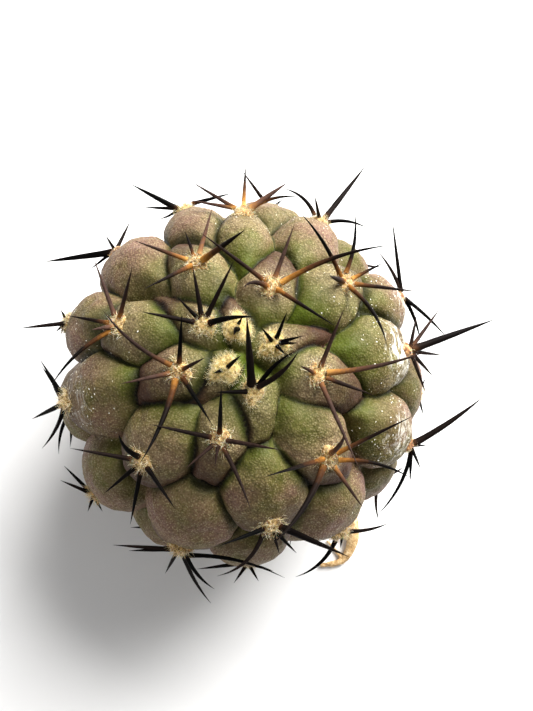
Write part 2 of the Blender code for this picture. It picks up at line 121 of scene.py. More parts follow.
SEEN_AREOLES = (
    Areole(112.3, 7.4, ((0, 0.4, 84), (250, 1.2, 60), (60, 1.3, 62))),
    Areole(217.3, 7.7, ((42, 2.8, 60), (200, 1.4, 55))),
    Areole(17.3, 7.5, ((68, 4.8, 50), (128, 2.8, 50), (15, 4.1, 40), (1, 3.2, 40), (-45, 2.0, 45))),
    Areole(146.8, 14.2, (
        (100, 8.8), (64, 10.7, 34), (8, 7.6, 34, 0.3, 1.2), (169, 9.3), (134, 5.1, 38),
    ), 0.9),
    Areole(276.3, 10.7, (
        (94, 11.1, 50, 0, 1.6), (41, 9.0, 42, -0.6, 1.2), (44, 8.4, 36, 0.4), (181, 5.4, 35),
    )),
    Areole(69.7, 20.0, (
        (70, 9.8), (19, 19.6, 30, 0.9, 1.2), (143, 13.5), (181, 4.0, 40, -0.6, 1.2), (-32, 11.3),
    )),
    Areole(195.6, 19.1, (
        (87, 8.4), (28, 4.2, 38), (141, 15.0, 30, 0.8), (192, 8.7), (247, 15.2, 30, 0.5, 1.3),
        (-58, 9.5),
    )),
    Areole(342.2, 19.9, (
        (68, 10.7), (12, 17.0, 30, -0.5, 1.2), (-20, 8.7), (-66, 16.0), (152, 2.8, 45),
    )),
    Areole(117.8, 30.5, (
        (36, 8.8, 50, 0, 1.45), (74, 8.5), (110, 4.7), (160, 9.8), (206, 8.8),
    ), 0.88),
    Areole(251.8, 24.7, (
        (88, 7.9, 35), (168, 10.7), (-10, 9.3), (221, 6.4), (261, 3.7), (-66, 11.6, 30, 0.2),
    ), 0.84),
    Areole(37.6, 37.8, (
        (122, 12.5, 30, -0.5), (82, 10.9, 30, -0.6), (27, 6.2, 35), (-7, 11.1), (-57, 11.7, 30, 0.9),
        (158, 2.4, 65, 0, 1.3),
    ), 0.95),
    Areole(165.1, 39.3, (
        (110, 10.5), (76, 8.8), (170, 7.3), (188, 3.5, 75, 0, 1.4), (223, 13.9, 26, -0.8),
    ), 0.88),
    Areole(308.4, 37.7, (
        (57, 4.6, 45, -0.4, 1.2), (26, 14.4), (-14, 13.1, 30, 0.8), (-55, 9.3),
        (237, 15.9, 24, 0.8, 1.4), (197, 10.1),
    )),
    Areole(90.2, 52.0, (
        (35, 8.0, 50, 0, 1.45), (87, 7.2), (149, 9.0), (170, 8.0, 22), (14, 8.6, 13, 0.7),
    ), 0.72),
    Areole(224.8, 43.5, ((131, 5.3, 45, 0.5, 1.2), (170, 11.0), (220, 7.3), (259, 9.5), (-56, 8.6))),
    Areole(4.9, 57.0, (
        (20, 14.5, 58, 0, 1.75), (54, 8.1), (79, 5.4), (-7, 5.0), (-70, 6.9), (-48, 5.2, 12),
    )),
    Areole(136.0, 71.0, ((188, 11.1, 58, 0, 1.6), (122, 2.6), (64, 4.9), (218, 4.5, 8)), 0.95),
    Areole(278.7, 53.3, (
        (-24, 12.6, 45, 0, 1.5), (223, 11.1, 26, 1.2), (201, 8.2, 30), (-74, 4.0), (-46, 5.2, 18),
    ), 1.07),
    Areole(62.5, 64.5, (
        (52, 11.6, 58, 0, 1.45), (140, 7.5, 28, -0.9), (101, 3.8), (-9, 7.1, 15, 0.6),
    ), 0.84),
    Areole(190.5, 65.5, (
        (206, 6.0, 30, 0, 1.2), (241, 7.9, 30, 0.4), (251, 4.9), (122, 7.3), (125, 6.2, 20),
    )),
    Areole(336.0, 74.0, (
        (34, 13.5, 55, -0.3, 1.6), (0, 2.3, 50), (-92, 5.4, 10), (-66, 3.6), (-118, 12.0, 5, 0.9),
    ), 0.9),
    Areole(109.0, 70.0, (
        (152, 9.1, 50, 0, 1.4), (178, 6.2, 15), (208, 4.2, 4, 0.3), (15, 7.6, 10),
    ), 0.78),
    Areole(250.0, 73.5, (
        (176, 10.0, 20), (182, 7.4, 4), (241, 4.3), (-50, 7.9, 30, -0.5), (-60, 9.7, 12, -0.4),
        (-13, 17.0, 8, 0.9),
    ), 1.06),
    Areole(26.0, 74.5, (
        (97, 12.0, 20), (120, 7.8, 10, -0.4), (-43, 9.4, 16, 0.3), (-70, 7.5, 12, 0.4),
    ), 0.84),
    Areole(163.5, 73.0, ((186, 7.5, 35), (255, 1.8, 10), (118, 1.8, 25), (222, 2.0, 15)), 0.92),
    Areole(301.5, 79.0, ((222, 9.6, 12, 0.9), (12, 7.1, 15, -0.3), (-95, 1.9, 28)), 1.04),
    Areole(80.0, 87.7, ((126, 7.2, 10), (40, 2.2, 25), (-60, 2.5, 20))),
    Areole(218.0, 90.4, ((135, 6.1, 15), (157, 5.3, 15), (250, 2.5, 20), (-60, 2.5, 20))),
    Areole(356.0, 93.1, ((256, 6.8, 12), (-75, 3.2, 15), (60, 2.2, 20))),
    Areole(134.0, 95.8, ((200, 2.0, 20), (95, 2.0, 20), (245, 3.0, 20))),
    Areole(272.0, 98.5, ((187, 7.7, 12), (-17, 3.7, 15), (235, 3.5, 15), (-60, 3.0, 20))),
)

SIDE_ROOTS = (
    SideRoot(-34.0, 41.0, 3.9, -195.0, 4.0),
    SideRoot(12.0, 25.0, 2.4, 50.0),
    SideRoot(83.0, 29.0, 2.6, -60.0, 4.5),
    SideRoot(150.0, 24.0, 2.2, 45.0, 6.0),
    SideRoot(205.0, 28.0, 2.7, 70.0, 4.0),
    SideRoot(262.0, 22.0, 2.0, -40.0, 6.0),
)

# How far each seen tubercle has blushed from green to the purple brown of a hard-grown plant, in tenths
BLUSH = (5, 2, 5, 3, 0, 4, 5, 4, 4, 4, 2, 3, 5, 3, 5, 3, 9, 5, 8, 6, 6, 9, 9, 7, 9, 9)
GROWN_BLUSH = 0.85

# How far the amber of old horn runs up the spines of each seen areole, in tenths
AMBER = (0, 0, 0, 2, 1, 8, 7, 8, 9, 4, 9, 7, 8, 9, 3, 5, 2, 2, 4, 1, 2, 4, 1, 2, 2, 1)
GROWN_AMBER = 0.15

# White scurf round the outer areoles: areole number, strength, and radians uphill of the areole
SCURF = (
    (10, 0.4, 0.0), (11, 0.25, 0.0), (13, 0.35, 0.0), (15, 1.0, 0.06), (18, 0.5, 0.0), (19, 0.72, 0.12),
    (20, 0.85, 0.2), (23, 0.9, 0.1), (24, 0.5, 0.0), (25, 0.6, 0.0),
)


def linear(colour: str) -> tuple[float, float, float, float]:
    """Turn an sRGB hex colour into linear values.

    Args:
        colour: Six hex digits after a hash.

    Returns:
        Red, green, blue and full alpha.
    """
    parts = [int(colour[k:k + 2], 16) / 255.0 for k in (1, 3, 5)]
    red, green, blue = [p / 12.92 if p <= 0.04045 else ((p + 0.055) / 1.055) ** 2.4 for p in parts]
    return red, green, blue, 1.0


def per_mm(size: float) -> float:
    """Scale of a texture whose features are about this many mm across, on coordinates in metres."""
    return 1.0 / (size * MM)


def pattern(place: Socket, size_mm: float, **look: float) -> dict:
    """Inputs of a texture with features of a real size, and with any others that are given."""
    return {"Vector": place, "Scale": per_mm(size_mm), **look}


def feed(node: Node, inputs: dict | tuple) -> None:
    """Give a node's inputs their values and links.

    Args:
        node: The node.
        inputs: Values, or the output sockets that feed them, in the inputs' order or by name or number.
    """
    for key, value in inputs.items() if isinstance(inputs, dict) else enumerate(inputs):
        if isinstance(value, Socket):
            node.id_data.links.new(value, node.inputs[key])
        else:
            node.inputs[key].default_value = value


def add_node(tree: Tree, kind: str, inputs: dict | tuple = (), output: int | str = 0,
             **settings: object) -> Socket:
    """Add a node to a tree with its settings, values and links.

    Args:
        tree: The shader or geometry tree.
        kind: Blender's name for the node type.
        inputs: What feed gives the node.
        output: Name or number of the output that is handed on.
        settings: Properties of the node.

    Returns:
        The output's socket.
    """
    node = tree.nodes.new(kind)
    for name, value in settings.items():
        setattr(node, name, value)
    feed(node, inputs)
    return node.outputs[output]


def shown(tree: Tree, ruler: Socket, limits: tuple, share: Socket | float) -> Socket:
    """How much of a coat, or of the chips, shows.

    Args:
        tree: The shader or geometry tree.
        ruler: The mark or noise that rules it.
        limits: Where it starts and ends, and then the least and the most.
        share: What the amount is multiplied by.

    Returns:
        The amount's socket.
    """
    amount = add_node(tree, RANGE, (ruler, *limits))
    return add_node(tree, MATH, (amount, share), operation="MULTIPLY")


def lay_over(tree: Tree, colour: Socket, coats: list[tuple[str, Socket]]) -> Socket:
    """Lay coats of colour over a base, one after another.

    Args:
        tree: The shader tree.
        colour: The base.
        coats: The sRGB hex colour of each coat, and how much of it shows.

    Returns:
        The last colour's socket.
    """
    for tone, amount in coats:
        layers = {0: amount, 6: colour, 7: linear(tone)}
        colour = add_node(tree, MIX, layers, output=2, data_type="RGBA")
    return colour


def with_stops(colour: Socket, stops: tuple) -> Socket:
    """Set the stops of the colour ramp that a socket comes from.

    Args:
        colour: The ramp's colour.
        stops: Pairs of position and sRGB hex colour.

    Returns:
        The same socket.
    """
    elements = colour.node.color_ramp.elements
    while len(elements) < len(stops):
        elements.new(0.5)
    for element, (position, tone) in zip(elements, stops):
        element.position = position
        element.color = linear(tone)
    return colour


def ripple(tree: Tree, scale: Socket, detail: float, centre: float = 0.5, distortion: float = 0.0) -> Socket:
    """Noise at each point of a mesh, with its centre brought to nought.

    Args:
        tree: The geometry tree.
        scale: The noise's scale.
        detail: How many finer layers it has.
        centre: The value that becomes nought.
        distortion: How much it is stirred.

    Returns:
        The noise's socket.
    """
    place = add_node(tree, "GeometryNodeInputPosition")
    look = {"Vector": place, "Scale": scale, "Detail": detail, "Distortion": distortion}
    return add_node(tree, MATH, (add_node(tree, NOISE, look), centre), operation="SUBTRACT")


def push_out(tree: Tree, mesh: Socket, height: Socket, place: Socket | None = None) -> Socket:
    """Move the points of a mesh along its normals.

    Args:
        tree: The geometry tree.
        mesh: The mesh.
        height: How far each point moves.
        place: Where the points start, if not where they are.

    Returns:
        The moved mesh.
    """
    normal = add_node(tree, "GeometryNodeInputNormal")
    push = add_node(tree, "ShaderNodeVectorMath", {0: normal, "Scale": height}, operation="SCALE")
    start = {"Position": place} if place else {}
    return add_node(tree, "GeometryNodeSetPosition", {"Geometry": mesh, "Offset": push, **start})


def tube(tree: Tree, curve: Socket, sides: Socket, radius: Socket | float, girth: Socket) -> Socket:
    """Sweep a circle along a curve, with closed ends.

    Args:
        tree: The geometry tree.
        curve: The middle line.
        sides: How many sides the circle has.
        radius: The circle's radius.
        girth: What the radius is multiplied by along the line.

    Returns:
        The tube.
    """
    circle = add_node(tree, "GeometryNodeCurvePrimitiveCircle", {"Resolution": sides, "Radius": radius})
    parts = {"Curve": curve, "Profile Curve": circle, "Scale": girth, "Fill Caps": True}
    return add_node(tree, "GeometryNodeCurveToMesh", parts)


def scatter(tree: Tree, given: dict, density: Socket, piece: Socket, turns: tuple, tints: tuple,
            sizes: tuple, reach: Socket | float = 1.0) -> Socket:
    """Scatter copies of a piece over the tree's mesh, each with its own tint, turn and size.

    Args:
        tree: The geometry tree.
        given: Its named inputs, Geometry and Seed among them.
        density: Copies per square metre.
        piece: What is copied.
        turns: The least and the greatest turn about each axis.
        tints: The least and the greatest tint.
        sizes: The least and the greatest size.
        reach: What the size is multiplied by.

    Returns:
        The copies.
    """
    seed = given["Seed"]
    ground = {"Mesh": given["Geometry"], "Density": density, "Seed": seed}
    spread = add_node(tree, "GeometryNodeDistributePointsOnFaces", ground).node.outputs
    tint, size = [
        add_node(tree, "FunctionNodeRandomValue", {2: low, 3: high, "Seed": seed}, output=1)
        for low, high in (tints, sizes)
    ]
    tinted = {"Geometry": spread["Points"], "Name": "tint", "Value": tint}
    angles = {0: turns[0], 1: turns[1], "Seed": seed}
    euler = add_node(tree, "FunctionNodeRandomValue", angles, data_type="FLOAT_VECTOR")
    turn = add_node(tree, "FunctionNodeEulerToRotation", {"Euler": euler})
    facing = {"Rotation": spread["Rotation"], "Rotate By": turn}
    return add_node(tree, "GeometryNodeInstanceOnPoints", {
        "Points": add_node(tree, "GeometryNodeStoreNamedAttribute", tinted),
        "Instance": piece,
        "Rotation": add_node(tree, "FunctionNodeRotateRotation", facing, rotation_space="LOCAL"),
        "Scale": add_node(tree, MATH, (size, reach), operation="MULTIPLY"),
    })


def plain_object(name: str, data: bpy.types.ID) -> Thing:
    """Link a mesh, a camera or a light to the scene as an object at the origin.

    Args:
        name: The object's name.
        data: Its mesh, camera or light.

    Returns:
        The object.
    """
    thing = bpy.data.objects.new(name, data)
    bpy.context.scene.collection.objects.link(thing)
    return thing


def mesh_of(name: str, places: list, faces: list, edges: list | tuple = (), **values: Array) -> Mesh:
    """A mesh with one number per point in each of its named attributes.

    Args:
        name: The mesh's name.
        places: Its points.
        faces: The corner numbers of each face.
        edges: The end numbers of each loose edge.
        values: Attribute name to an array.

    Returns:
        The mesh.
    """
    mesh = bpy.data.meshes.new(name)
    mesh.from_pydata(places, edges, faces)
    for mark_name, numbers in values.items():
        layer = mesh.attributes.new(mark_name, "FLOAT", "POINT")
        layer.data.foreach_set("value", np.asarray(numbers, dtype=np.float32))
    return mesh


def ring_quad(ring: int, sector: int, sectors: int) -> tuple[int, int, int, int]:
    """Corner numbers of the quad at one sector, between the ring that starts at a number and the next one."""
    near, far = sector, (sector + 1) % sectors
    return ring + near, ring + sectors + near, ring + sectors + far, ring + far


def take_result(thing: Thing, modifier: bpy.types.Modifier) -> Thing:
    """Keep what an object's modifier makes as its plain mesh.

    Args:
        thing: The object.
        modifier: Its only modifier, which goes.

    Returns:
        The same object.
    """
    graph = bpy.context.evaluated_depsgraph_get()
    done = thing.evaluated_get(graph)
    mesh = bpy.data.meshes.new_from_object(done, preserve_all_data_layers=True, depsgraph=graph)
    thing.modifiers.remove(modifier)
    thing.data = mesh
    return thing


def grow(thing: Thing, name: str, wire: Callable[[Tree, dict], Socket], values: dict) -> Thing:
    """Build a geometry tree with named inputs, run it on an object and keep the result as its plain mesh.

    The tree ends in Realize Instances, smooth shading and Set Material.

    Args:
        thing: The object whose mesh the tree starts from.
        name: What the tree makes.
        wire: Adds the nodes between the tree's named inputs and its result.
        values: Input name to value, Finish being the material.

    Returns:
        The same object with its new mesh and no modifier.
    """
    tree = bpy.data.node_groups.new(name, "GeometryNodeTree")
    tree.interface.new_socket("Geometry", in_out="INPUT", socket_type="NodeSocketGeometry")
    for label, value in values.items():
        tree.interface.new_socket(label, in_out="INPUT", socket_type=SOCKET_TYPES[type(value)])
    tree.interface.new_socket("Geometry", in_out="OUTPUT", socket_type="NodeSocketGeometry")
    given = {socket.name: socket for socket in tree.nodes.new("NodeGroupInput").outputs}
    solid = add_node(tree, "GeometryNodeRealizeInstances", {"Geometry": wire(tree, given)})
    smooth = add_node(tree, "GeometryNodeSetShadeSmooth", {"Geometry": solid})
    dressed = add_node(tree, "GeometryNodeSetMaterial", {"Geometry": smooth, "Material": given["Finish"]})
    feed(tree.nodes.new("NodeGroupOutput"), {"Geometry": dressed})
    modifier = thing.modifiers.new(tree.name, "NODES")
    modifier.node_group = tree
    for item in tree.interface.items_tree:
        if item.in_out == "INPUT" and item.name in values:
            modifier[item.identifier] = values[item.name]
    return take_result(thing, modifier)


def declare(piece: Thing, nodes: list[str]) -> None:
    """Ride a piece on the part's one body and the nodes that it stands for, and report it.

    Args:
        piece: The finished piece.
        nodes: The solids that it replaces.
    """
    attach(piece, "root")
    if nodes:
        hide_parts(*nodes)
    triangles = sum(len(face.vertices) - 2 for face in piece.data.polygons)
    log.info("%s: %d triangles, replaces %d solids", piece.name, triangles, len(nodes))


def direction(azimuth: float, polar: float) -> Array:
    """Unit vector at an azimuth and a polar angle, both in radians."""
    level = math.sin(polar)
    return np.array([level * math.cos(azimuth), level * math.sin(azimuth), math.cos(polar)])


def unit(vector: Array) -> Array:
    """A vector brought to length one."""
    return vector / max(float(np.linalg.norm(vector)), TINY)


def bell(value: float | Array, width: float) -> float | Array:
    """A smooth bump that is 1 at nought and almost nothing past twice its width."""
    return np.exp(-((value / width) ** 2))


@dataclass(frozen=True)
class Viewpoint:
    """Where the plant is looked at from, which the camera and the seen spines share."""

    place: tuple = (-0.0050, -0.0211, 0.1547)
    tilt: float = math.radians(11.78)
    lean: float = math.radians(20.0)
    distance: float = 0.130

    def axes(self) -> tuple[Array, Array, Array]:
        """Right, up and back of the picture, as unit vectors.

        Returns:
            The three axes.
        """
        level = math.sin(self.tilt)
        back = np.array([-level * math.sin(self.lean), -level * math.cos(self.lean), math.cos(self.tilt)])
        right = unit(np.array([1.0, 0.0, 0.0]) - back[0] * back)
        return right, np.cross(back, right), back


VIEW = Viewpoint()


@dataclass(frozen=True)
class Finish:
    """What every finish shares: a material that is named for its substance."""

    substance: str = "plant_tissue"

    def dress(self, tree: Tree) -> dict:
        """The look of the substance: shader input name to its value or to the socket that feeds it."""
        raise NotImplementedError

    def build(self) -> Material:
        """Make the material.

        Returns:
            The material.
        """
        material = bpy.data.materials.new(self.substance)
        material.use_nodes = True
        feed(material.node_tree.nodes["Principled BSDF"], self.dress(material.node_tree))
        return material


@dataclass(frozen=True)
class SkinFinish(Finish):
    """Living copiapoa epidermis, grown hard in full sun.

    To the eye it is a matt, pebbled olive brown on the plateaus, moss green in the necks and folds and purple
    brown on the chins, with pale gold grains and white scurf on the oldest tubercles. Painted shade darkens
    the folds by the creases and the lower flanks, lays almost black lines along the creases and adds to the
    chins' own darkness.
    """

    substance: str = "copiapoa_skin"
    plateau: tuple = ((0.25, "#4c5316"), (0.43, "#605826"), (0.58, "#6a5437"), (0.78, "#77574a"))
    young: str = "#565c20"
    green: str = "#46530e"
    # Painted shade: dark green laid in the folds beside the creases on the upper half of each tubercle
    painted_valley_shade: str = "#2a3305"
    # Painted shade: dark brown laid on the lower flanks, deepening towards the creases
    shade: str = "#241503"
    # Dark purple brown of the chins: partly their own blush, partly painted shade on the undersides that face
    # away from the light
    chin: str = "#3f271e"
    blushed: str = "#7b5950"
    # Painted shade: almost black lines laid along the creases, stronger on the lower flanks
    crease: str = "#070700"
    pale_grain: str = "#b5a67d"
    dark_grain: str = "#1e190f"
    bloom: str = "#8c7d5c"
    scurf: str = "#e4e0d4"
    # Real skin cells are far below a pixel, so the grain and specks are drawn just coarse enough to show
    grain_mm: float = 0.3
    speck_mm: float = 0.27
    patch_mm: float = 5.0
    scurf_mm: float = 1.1
    # How much of each tone shows: from and to of the mark or noise that rules it, then least and most
    young_limits: tuple = (0.5, 0.0, 0.0, 0.9)
    pink_limits: tuple = (0.35, 0.65, 0.3, 1.0)
    fold_limits: tuple = (0.62, 0.15, 0.0, 0.85)
    upper_limits: tuple = (0.3, -0.35)
    neck_limits: tuple = (-0.25, -0.95)
    valley_shade_limits: tuple = (0.42, 0.1, 0.0, 0.6)
    flank_shade_limits: tuple = (0.6, 0.12, 0.0, 0.9)
    tip_limits: tuple = (0.05, 0.55)
    crease_shade_limits: tuple = (0.27, 0.04)
    top_limits: tuple = ((0.5, 0.15), (0.36, 0.62))
    gap_limits: tuple = ((0.4, 0.75), (0.6, 0.4))
    scurf_limits: tuple = (0.14, 0.26, 0.0, 0.85)
    gloss_limits: tuple = (0.3, 0.7, 0.68, 0.46)
    # Slope and start of the tones that change with the blush or towards the chin
    green_by_blush: tuple = (-0.7, 1.08)
    chin_by_blush: tuple = (0.9, 0.42)
    most_chin: float = 0.92
    chin_stir: float = 0.5
    crease_shade_by_flank: tuple = (0.3, 0.68)
    most_pale: float = 0.7
    most_dark: float = 0.5
    scurf_floor: float = 0.3
    scurf_turn: tuple = (0.4, 0.9, 0.5)
    scurf_stretch: tuple = (1.0, 0.45, 1.0)

    def dress(self, tree: Tree) -> dict:
        """Lay the tones over each other, from the plateaus to the painted shade of the creases.

        Args:
            tree: The material's tree.

        Returns:
            Shader input name to its value or socket.
        """
        add, show = partial(add_node, tree), partial(shown, tree)
        place = add(PLACE, output="Object")
        names = ("along", "edge", "blush", "felt")
        along, edge, blush, felt = [add(MARK, output="Fac", attribute_name=name) for name in names]
        patch = add(NOISE, pattern(place, self.patch_mm, Detail=4.0, Roughness=0.6))
        pebbles = add("ShaderNodeTexVoronoi", pattern(place, self.grain_mm))
        specks = add(NOISE, pattern(place, self.speck_mm, Detail=1.0))
        upper = add(RANGE, (along, *self.upper_limits))
        lower = add(MATH, (1.0, upper), operation="SUBTRACT")
        neck = add(RANGE, (along, *self.neck_limits))
        fresh = add(MATH, (neck, show(edge, self.fold_limits, upper)), operation="MAXIMUM")
        lively = add(MATH, (blush, *self.green_by_blush), operation="MULTIPLY_ADD")
        stirred = add(MATH, (along, -self.chin_stir / 2.0), operation="ADD")
        stirred = add(MATH, (patch, self.chin_stir, stirred), operation="MULTIPLY_ADD")
        ripe = add(MATH, (blush, *self.chin_by_blush), operation="MULTIPLY_ADD")
        ripe = add(MATH, (ripe, self.most_chin), operation="MINIMUM")
        crease_shade_strength = add(MATH, (lower, *self.crease_shade_by_flank), operation="MULTIPLY_ADD")
        grains = []
        for tone, (tops, picks), most in (
            (self.pale_grain, self.top_limits, self.most_pale),
            (self.dark_grain, self.gap_limits, self.most_dark),
        ):
            both = show(pebbles, tops, add(RANGE, (specks, *picks)))
            grains.append((tone, add(MATH, (both, most), operation="MULTIPLY")))
        colour = lay_over(tree, with_stops(add(RAMP, (patch,)), self.plateau), [
            (self.young, add(RANGE, (blush, *self.young_limits))),
            (self.blushed, show(patch, self.pink_limits, blush)),
            (self.bloom, add(MATH, (felt, patch), operation="MULTIPLY")),
            *grains,
            (self.green, add(MATH, (fresh, lively), operation="MULTIPLY")),
            # Painted shade in the folds beside the creases
            (self.painted_valley_shade, show(edge, self.valley_shade_limits, upper)),
            # Painted shade on the lower flanks
            (self.shade, show(edge, self.flank_shade_limits, lower)),
            # Chins: their own purple brown with painted shade added
            (self.chin, show(stirred, self.tip_limits, ripe)),
            (self.scurf, self.scales(tree, place)),
            # Painted shade along the creases
            (self.crease, show(edge, self.crease_shade_limits, crease_shade_strength)),
        ])
        return {
            "Base Color": colour,
            "Roughness": add(RANGE, (specks, *self.gloss_limits)),
            "Normal": add(BUMP, {"Height": pebbles, "Strength": 0.7, "Distance": -0.11 * MM}),
            "IOR": 1.42,
            "Specular IOR Level": 0.18,
            "Subsurface Weight": 0.1,
            "Subsurface Radius": (1.0, 0.8, 0.35),
            "Subsurface Scale": 0.6 * MM,
        }

    def scales(self, tree: Tree, place: Socket) -> Socket:
        """Broken white scurf, in streaks and crackled patches.

        Args:
            tree: The material's tree.
            place: Object coordinates.

        Returns:
            How much scurf shows.
        """
        add = partial(add_node, tree)
        stretch = {"Vector": place, "Rotation": self.scurf_turn, "Scale": self.scurf_stretch}
        streaks = add("ShaderNodeMapping", stretch)
        crackle = add(NOISE, pattern(streaks, self.scurf_mm, Detail=9.0, Roughness=0.72, Distortion=0.9))
        flakes = add(MATH, (crackle, self.scurf_floor), operation="SUBTRACT")
        where = add(MARK, output="Fac", attribute_name="scurf")
        return add(RANGE, (add(MATH, (flakes, where), operation="MULTIPLY"), *self.scurf_limits))


@dataclass(frozen=True)
class SpineFinish(Finish):
    """Dry horn-like spine tissue: amber and glassy at the base, red brown above and smoky black to the tip.

    To the eye it is a satin horn with fine growth rings and grey weathering.
    """

    substance: str = "spine_horn"
    stops: tuple = ((0, "#c9964a"), (0.18, "#8f5f28"), (0.4, "#4a2d18"), (0.68, "#120b07"), (1, "#020202"))
    weathered: str = "#76594e"
    ring_mm: float = 0.45
    ring_tone: float = 0.3

    def dress(self, tree: Tree) -> dict:
        """Colour the horn along each spine, with its rings and its weathering.

        Args:
            tree: The material's tree.

        Returns:
            Shader input name to its value or socket.
        """
        add = partial(add_node, tree)
        tone, grey = [add(MARK, output="Fac", attribute_name=name) for name in ("tone", "grey")]
        rings = add(NOISE, pattern(add(PLACE, output="Object"), self.ring_mm, Detail=3.0))
        shift = add(MATH, (rings, self.ring_tone, -self.ring_tone / 2.0), operation="MULTIPLY_ADD")
        level = add(MATH, (tone, shift), operation="ADD", use_clamp=True)
        worn = add(MATH, (grey, rings), operation="MULTIPLY", use_clamp=True)
        horn = with_stops(add(RAMP, (level,)), self.stops)
        return {
            "Base Color": lay_over(tree, horn, [(self.weathered, worn)]),
            "Roughness": add(RANGE, (rings, 0.0, 1.0, 0.45, 0.7)),
            "Normal": add(BUMP, {"Height": rings, "Strength": 0.4, "Distance": 0.06 * MM}),
            "IOR": 1.3,
            "Specular IOR Level": 0.1,
        }


@dataclass(frozen=True)
class FeltFinish(Finish):
    """Areole felt: a mat of fine plant hairs, cream yellow when fresh, tan and rust where it has aged.

    To the eye it is a soft, light-catching fuzz with no gloss at all.
    """

    substance: str = "areole_felt"
    aged: tuple = ((0, "#4e2f18"), (0.3, "#95663a"), (0.55, "#cba26c"), (0.8, "#ecd2a0"), (1, "#fbeccb"))
    fresh: tuple = ((0, "#856f38"), (0.35, "#cdb26a"), (0.6, "#e8cf86"), (0.85, "#f6e2a6"), (1, "#fff2c6"))
    tuft_mm: float = 0.5
    tuft_tone: float = 2.0

    def dress(self, tree: Tree) -> dict:
        """Colour the hairs by their age and their own tint.

        Args:
            tree: The material's tree.

        Returns:
            Shader input name to its value or socket.
        """
        add = partial(add_node, tree)
        tint, fresh = [add(MARK, output="Fac", attribute_name=name) for name in ("tint", "fresh")]
        tufts = add(NOISE, pattern(add(PLACE, output="Object"), self.tuft_mm, Detail=3.0))
        level = add(MATH, (tufts, self.tuft_tone, -self.tuft_tone / 2.0), operation="MULTIPLY_ADD")
        level = add(MATH, (level, tint), operation="ADD", use_clamp=True)
        old, new = [with_stops(add(RAMP, (level,)), stops) for stops in (self.aged, self.fresh)]
        return {
            "Base Color": add(MIX, {0: fresh, 6: old, 7: new}, output=2, data_type="RGBA"),
            "Roughness": 0.9,
            "IOR": 1.4,
            "Sheen Weight": 0.3,
            "Subsurface Weight": 0.2,
            "Subsurface Scale": 0.5 * MM,
        }


@dataclass(frozen=True)
class BarkFinish(Finish):
    """Dried root bark: corky ochre with darker furrows and pale flakes, dry and quite matt."""

    substance: str = "root_bark"
    stops: tuple = ((0, "#7a5a34"), (0.35, "#b8925f"), (0.65, "#d8b683"), (1, "#ecd8b4"))
    furrow_mm: float = 0.9
    grit_mm: float = 0.25
    grit_share: float = 0.35
    limits: tuple = (0.32, 0.68)

    def dress(self, tree: Tree) -> dict:
        """Colour the furrows and the grit.

        Args:
            tree: The material's tree.

        Returns:
            Shader input name to its value or socket.
        """
        add = partial(add_node, tree)
        place = add(PLACE, output="Object")
        furrows = add(NOISE, pattern(place, self.furrow_mm, Detail=5.0, Distortion=0.8))
        grit = add(NOISE, pattern(place, self.grit_mm))
        level = add(RANGE, (add(MIX, {0: self.grit_share, 2: furrows, 3: grit}), *self.limits))
        return {
            "Base Color": with_stops(add(RAMP, (level,)), self.stops),
            "Roughness": 0.85,
            "Normal": add(BUMP, {"Height": level, "Strength": 0.7, "Distance": 0.15 * MM}),
        }


@dataclass(frozen=True)
class ScurfFinish(Finish):
    """Dry scale and grit on the skin: chips of dead epidermis, chalky, cream to yellow."""

    substance: str = "dry_scurf"
    stops: tuple = ((0, "#b9a878"), (0.5, "#ded6bc"), (1, "#f4f1e6"))

    def dress(self, tree: Tree) -> dict:
        """Colour each chip by its own tint."""
        tint = add_node(tree, MARK, output="Fac", attribute_name="tint")
        return {"Base Color": with_stops(add_node(tree, RAMP, (tint,)), self.stops), "Roughness": 0.7}


@dataclass(frozen=True)
class FloorFinish(Finish):
    """Matt white card under the plant, with the faintest tone in it."""

    substance: str = "white_card"
    stops: tuple = ((0, "#efeeec"), (1, "#f7f6f4"))
    tone_mm: float = 60.0

    def dress(self, tree: Tree) -> dict:
        """Colour the card with its faint tone."""
        tone = add_node(tree, NOISE, pattern(add_node(tree, PLACE, output="Object"), self.tone_mm))
        return {"Base Color": with_stops(add_node(tree, RAMP, (tone,)), self.stops), "Roughness": 0.8}


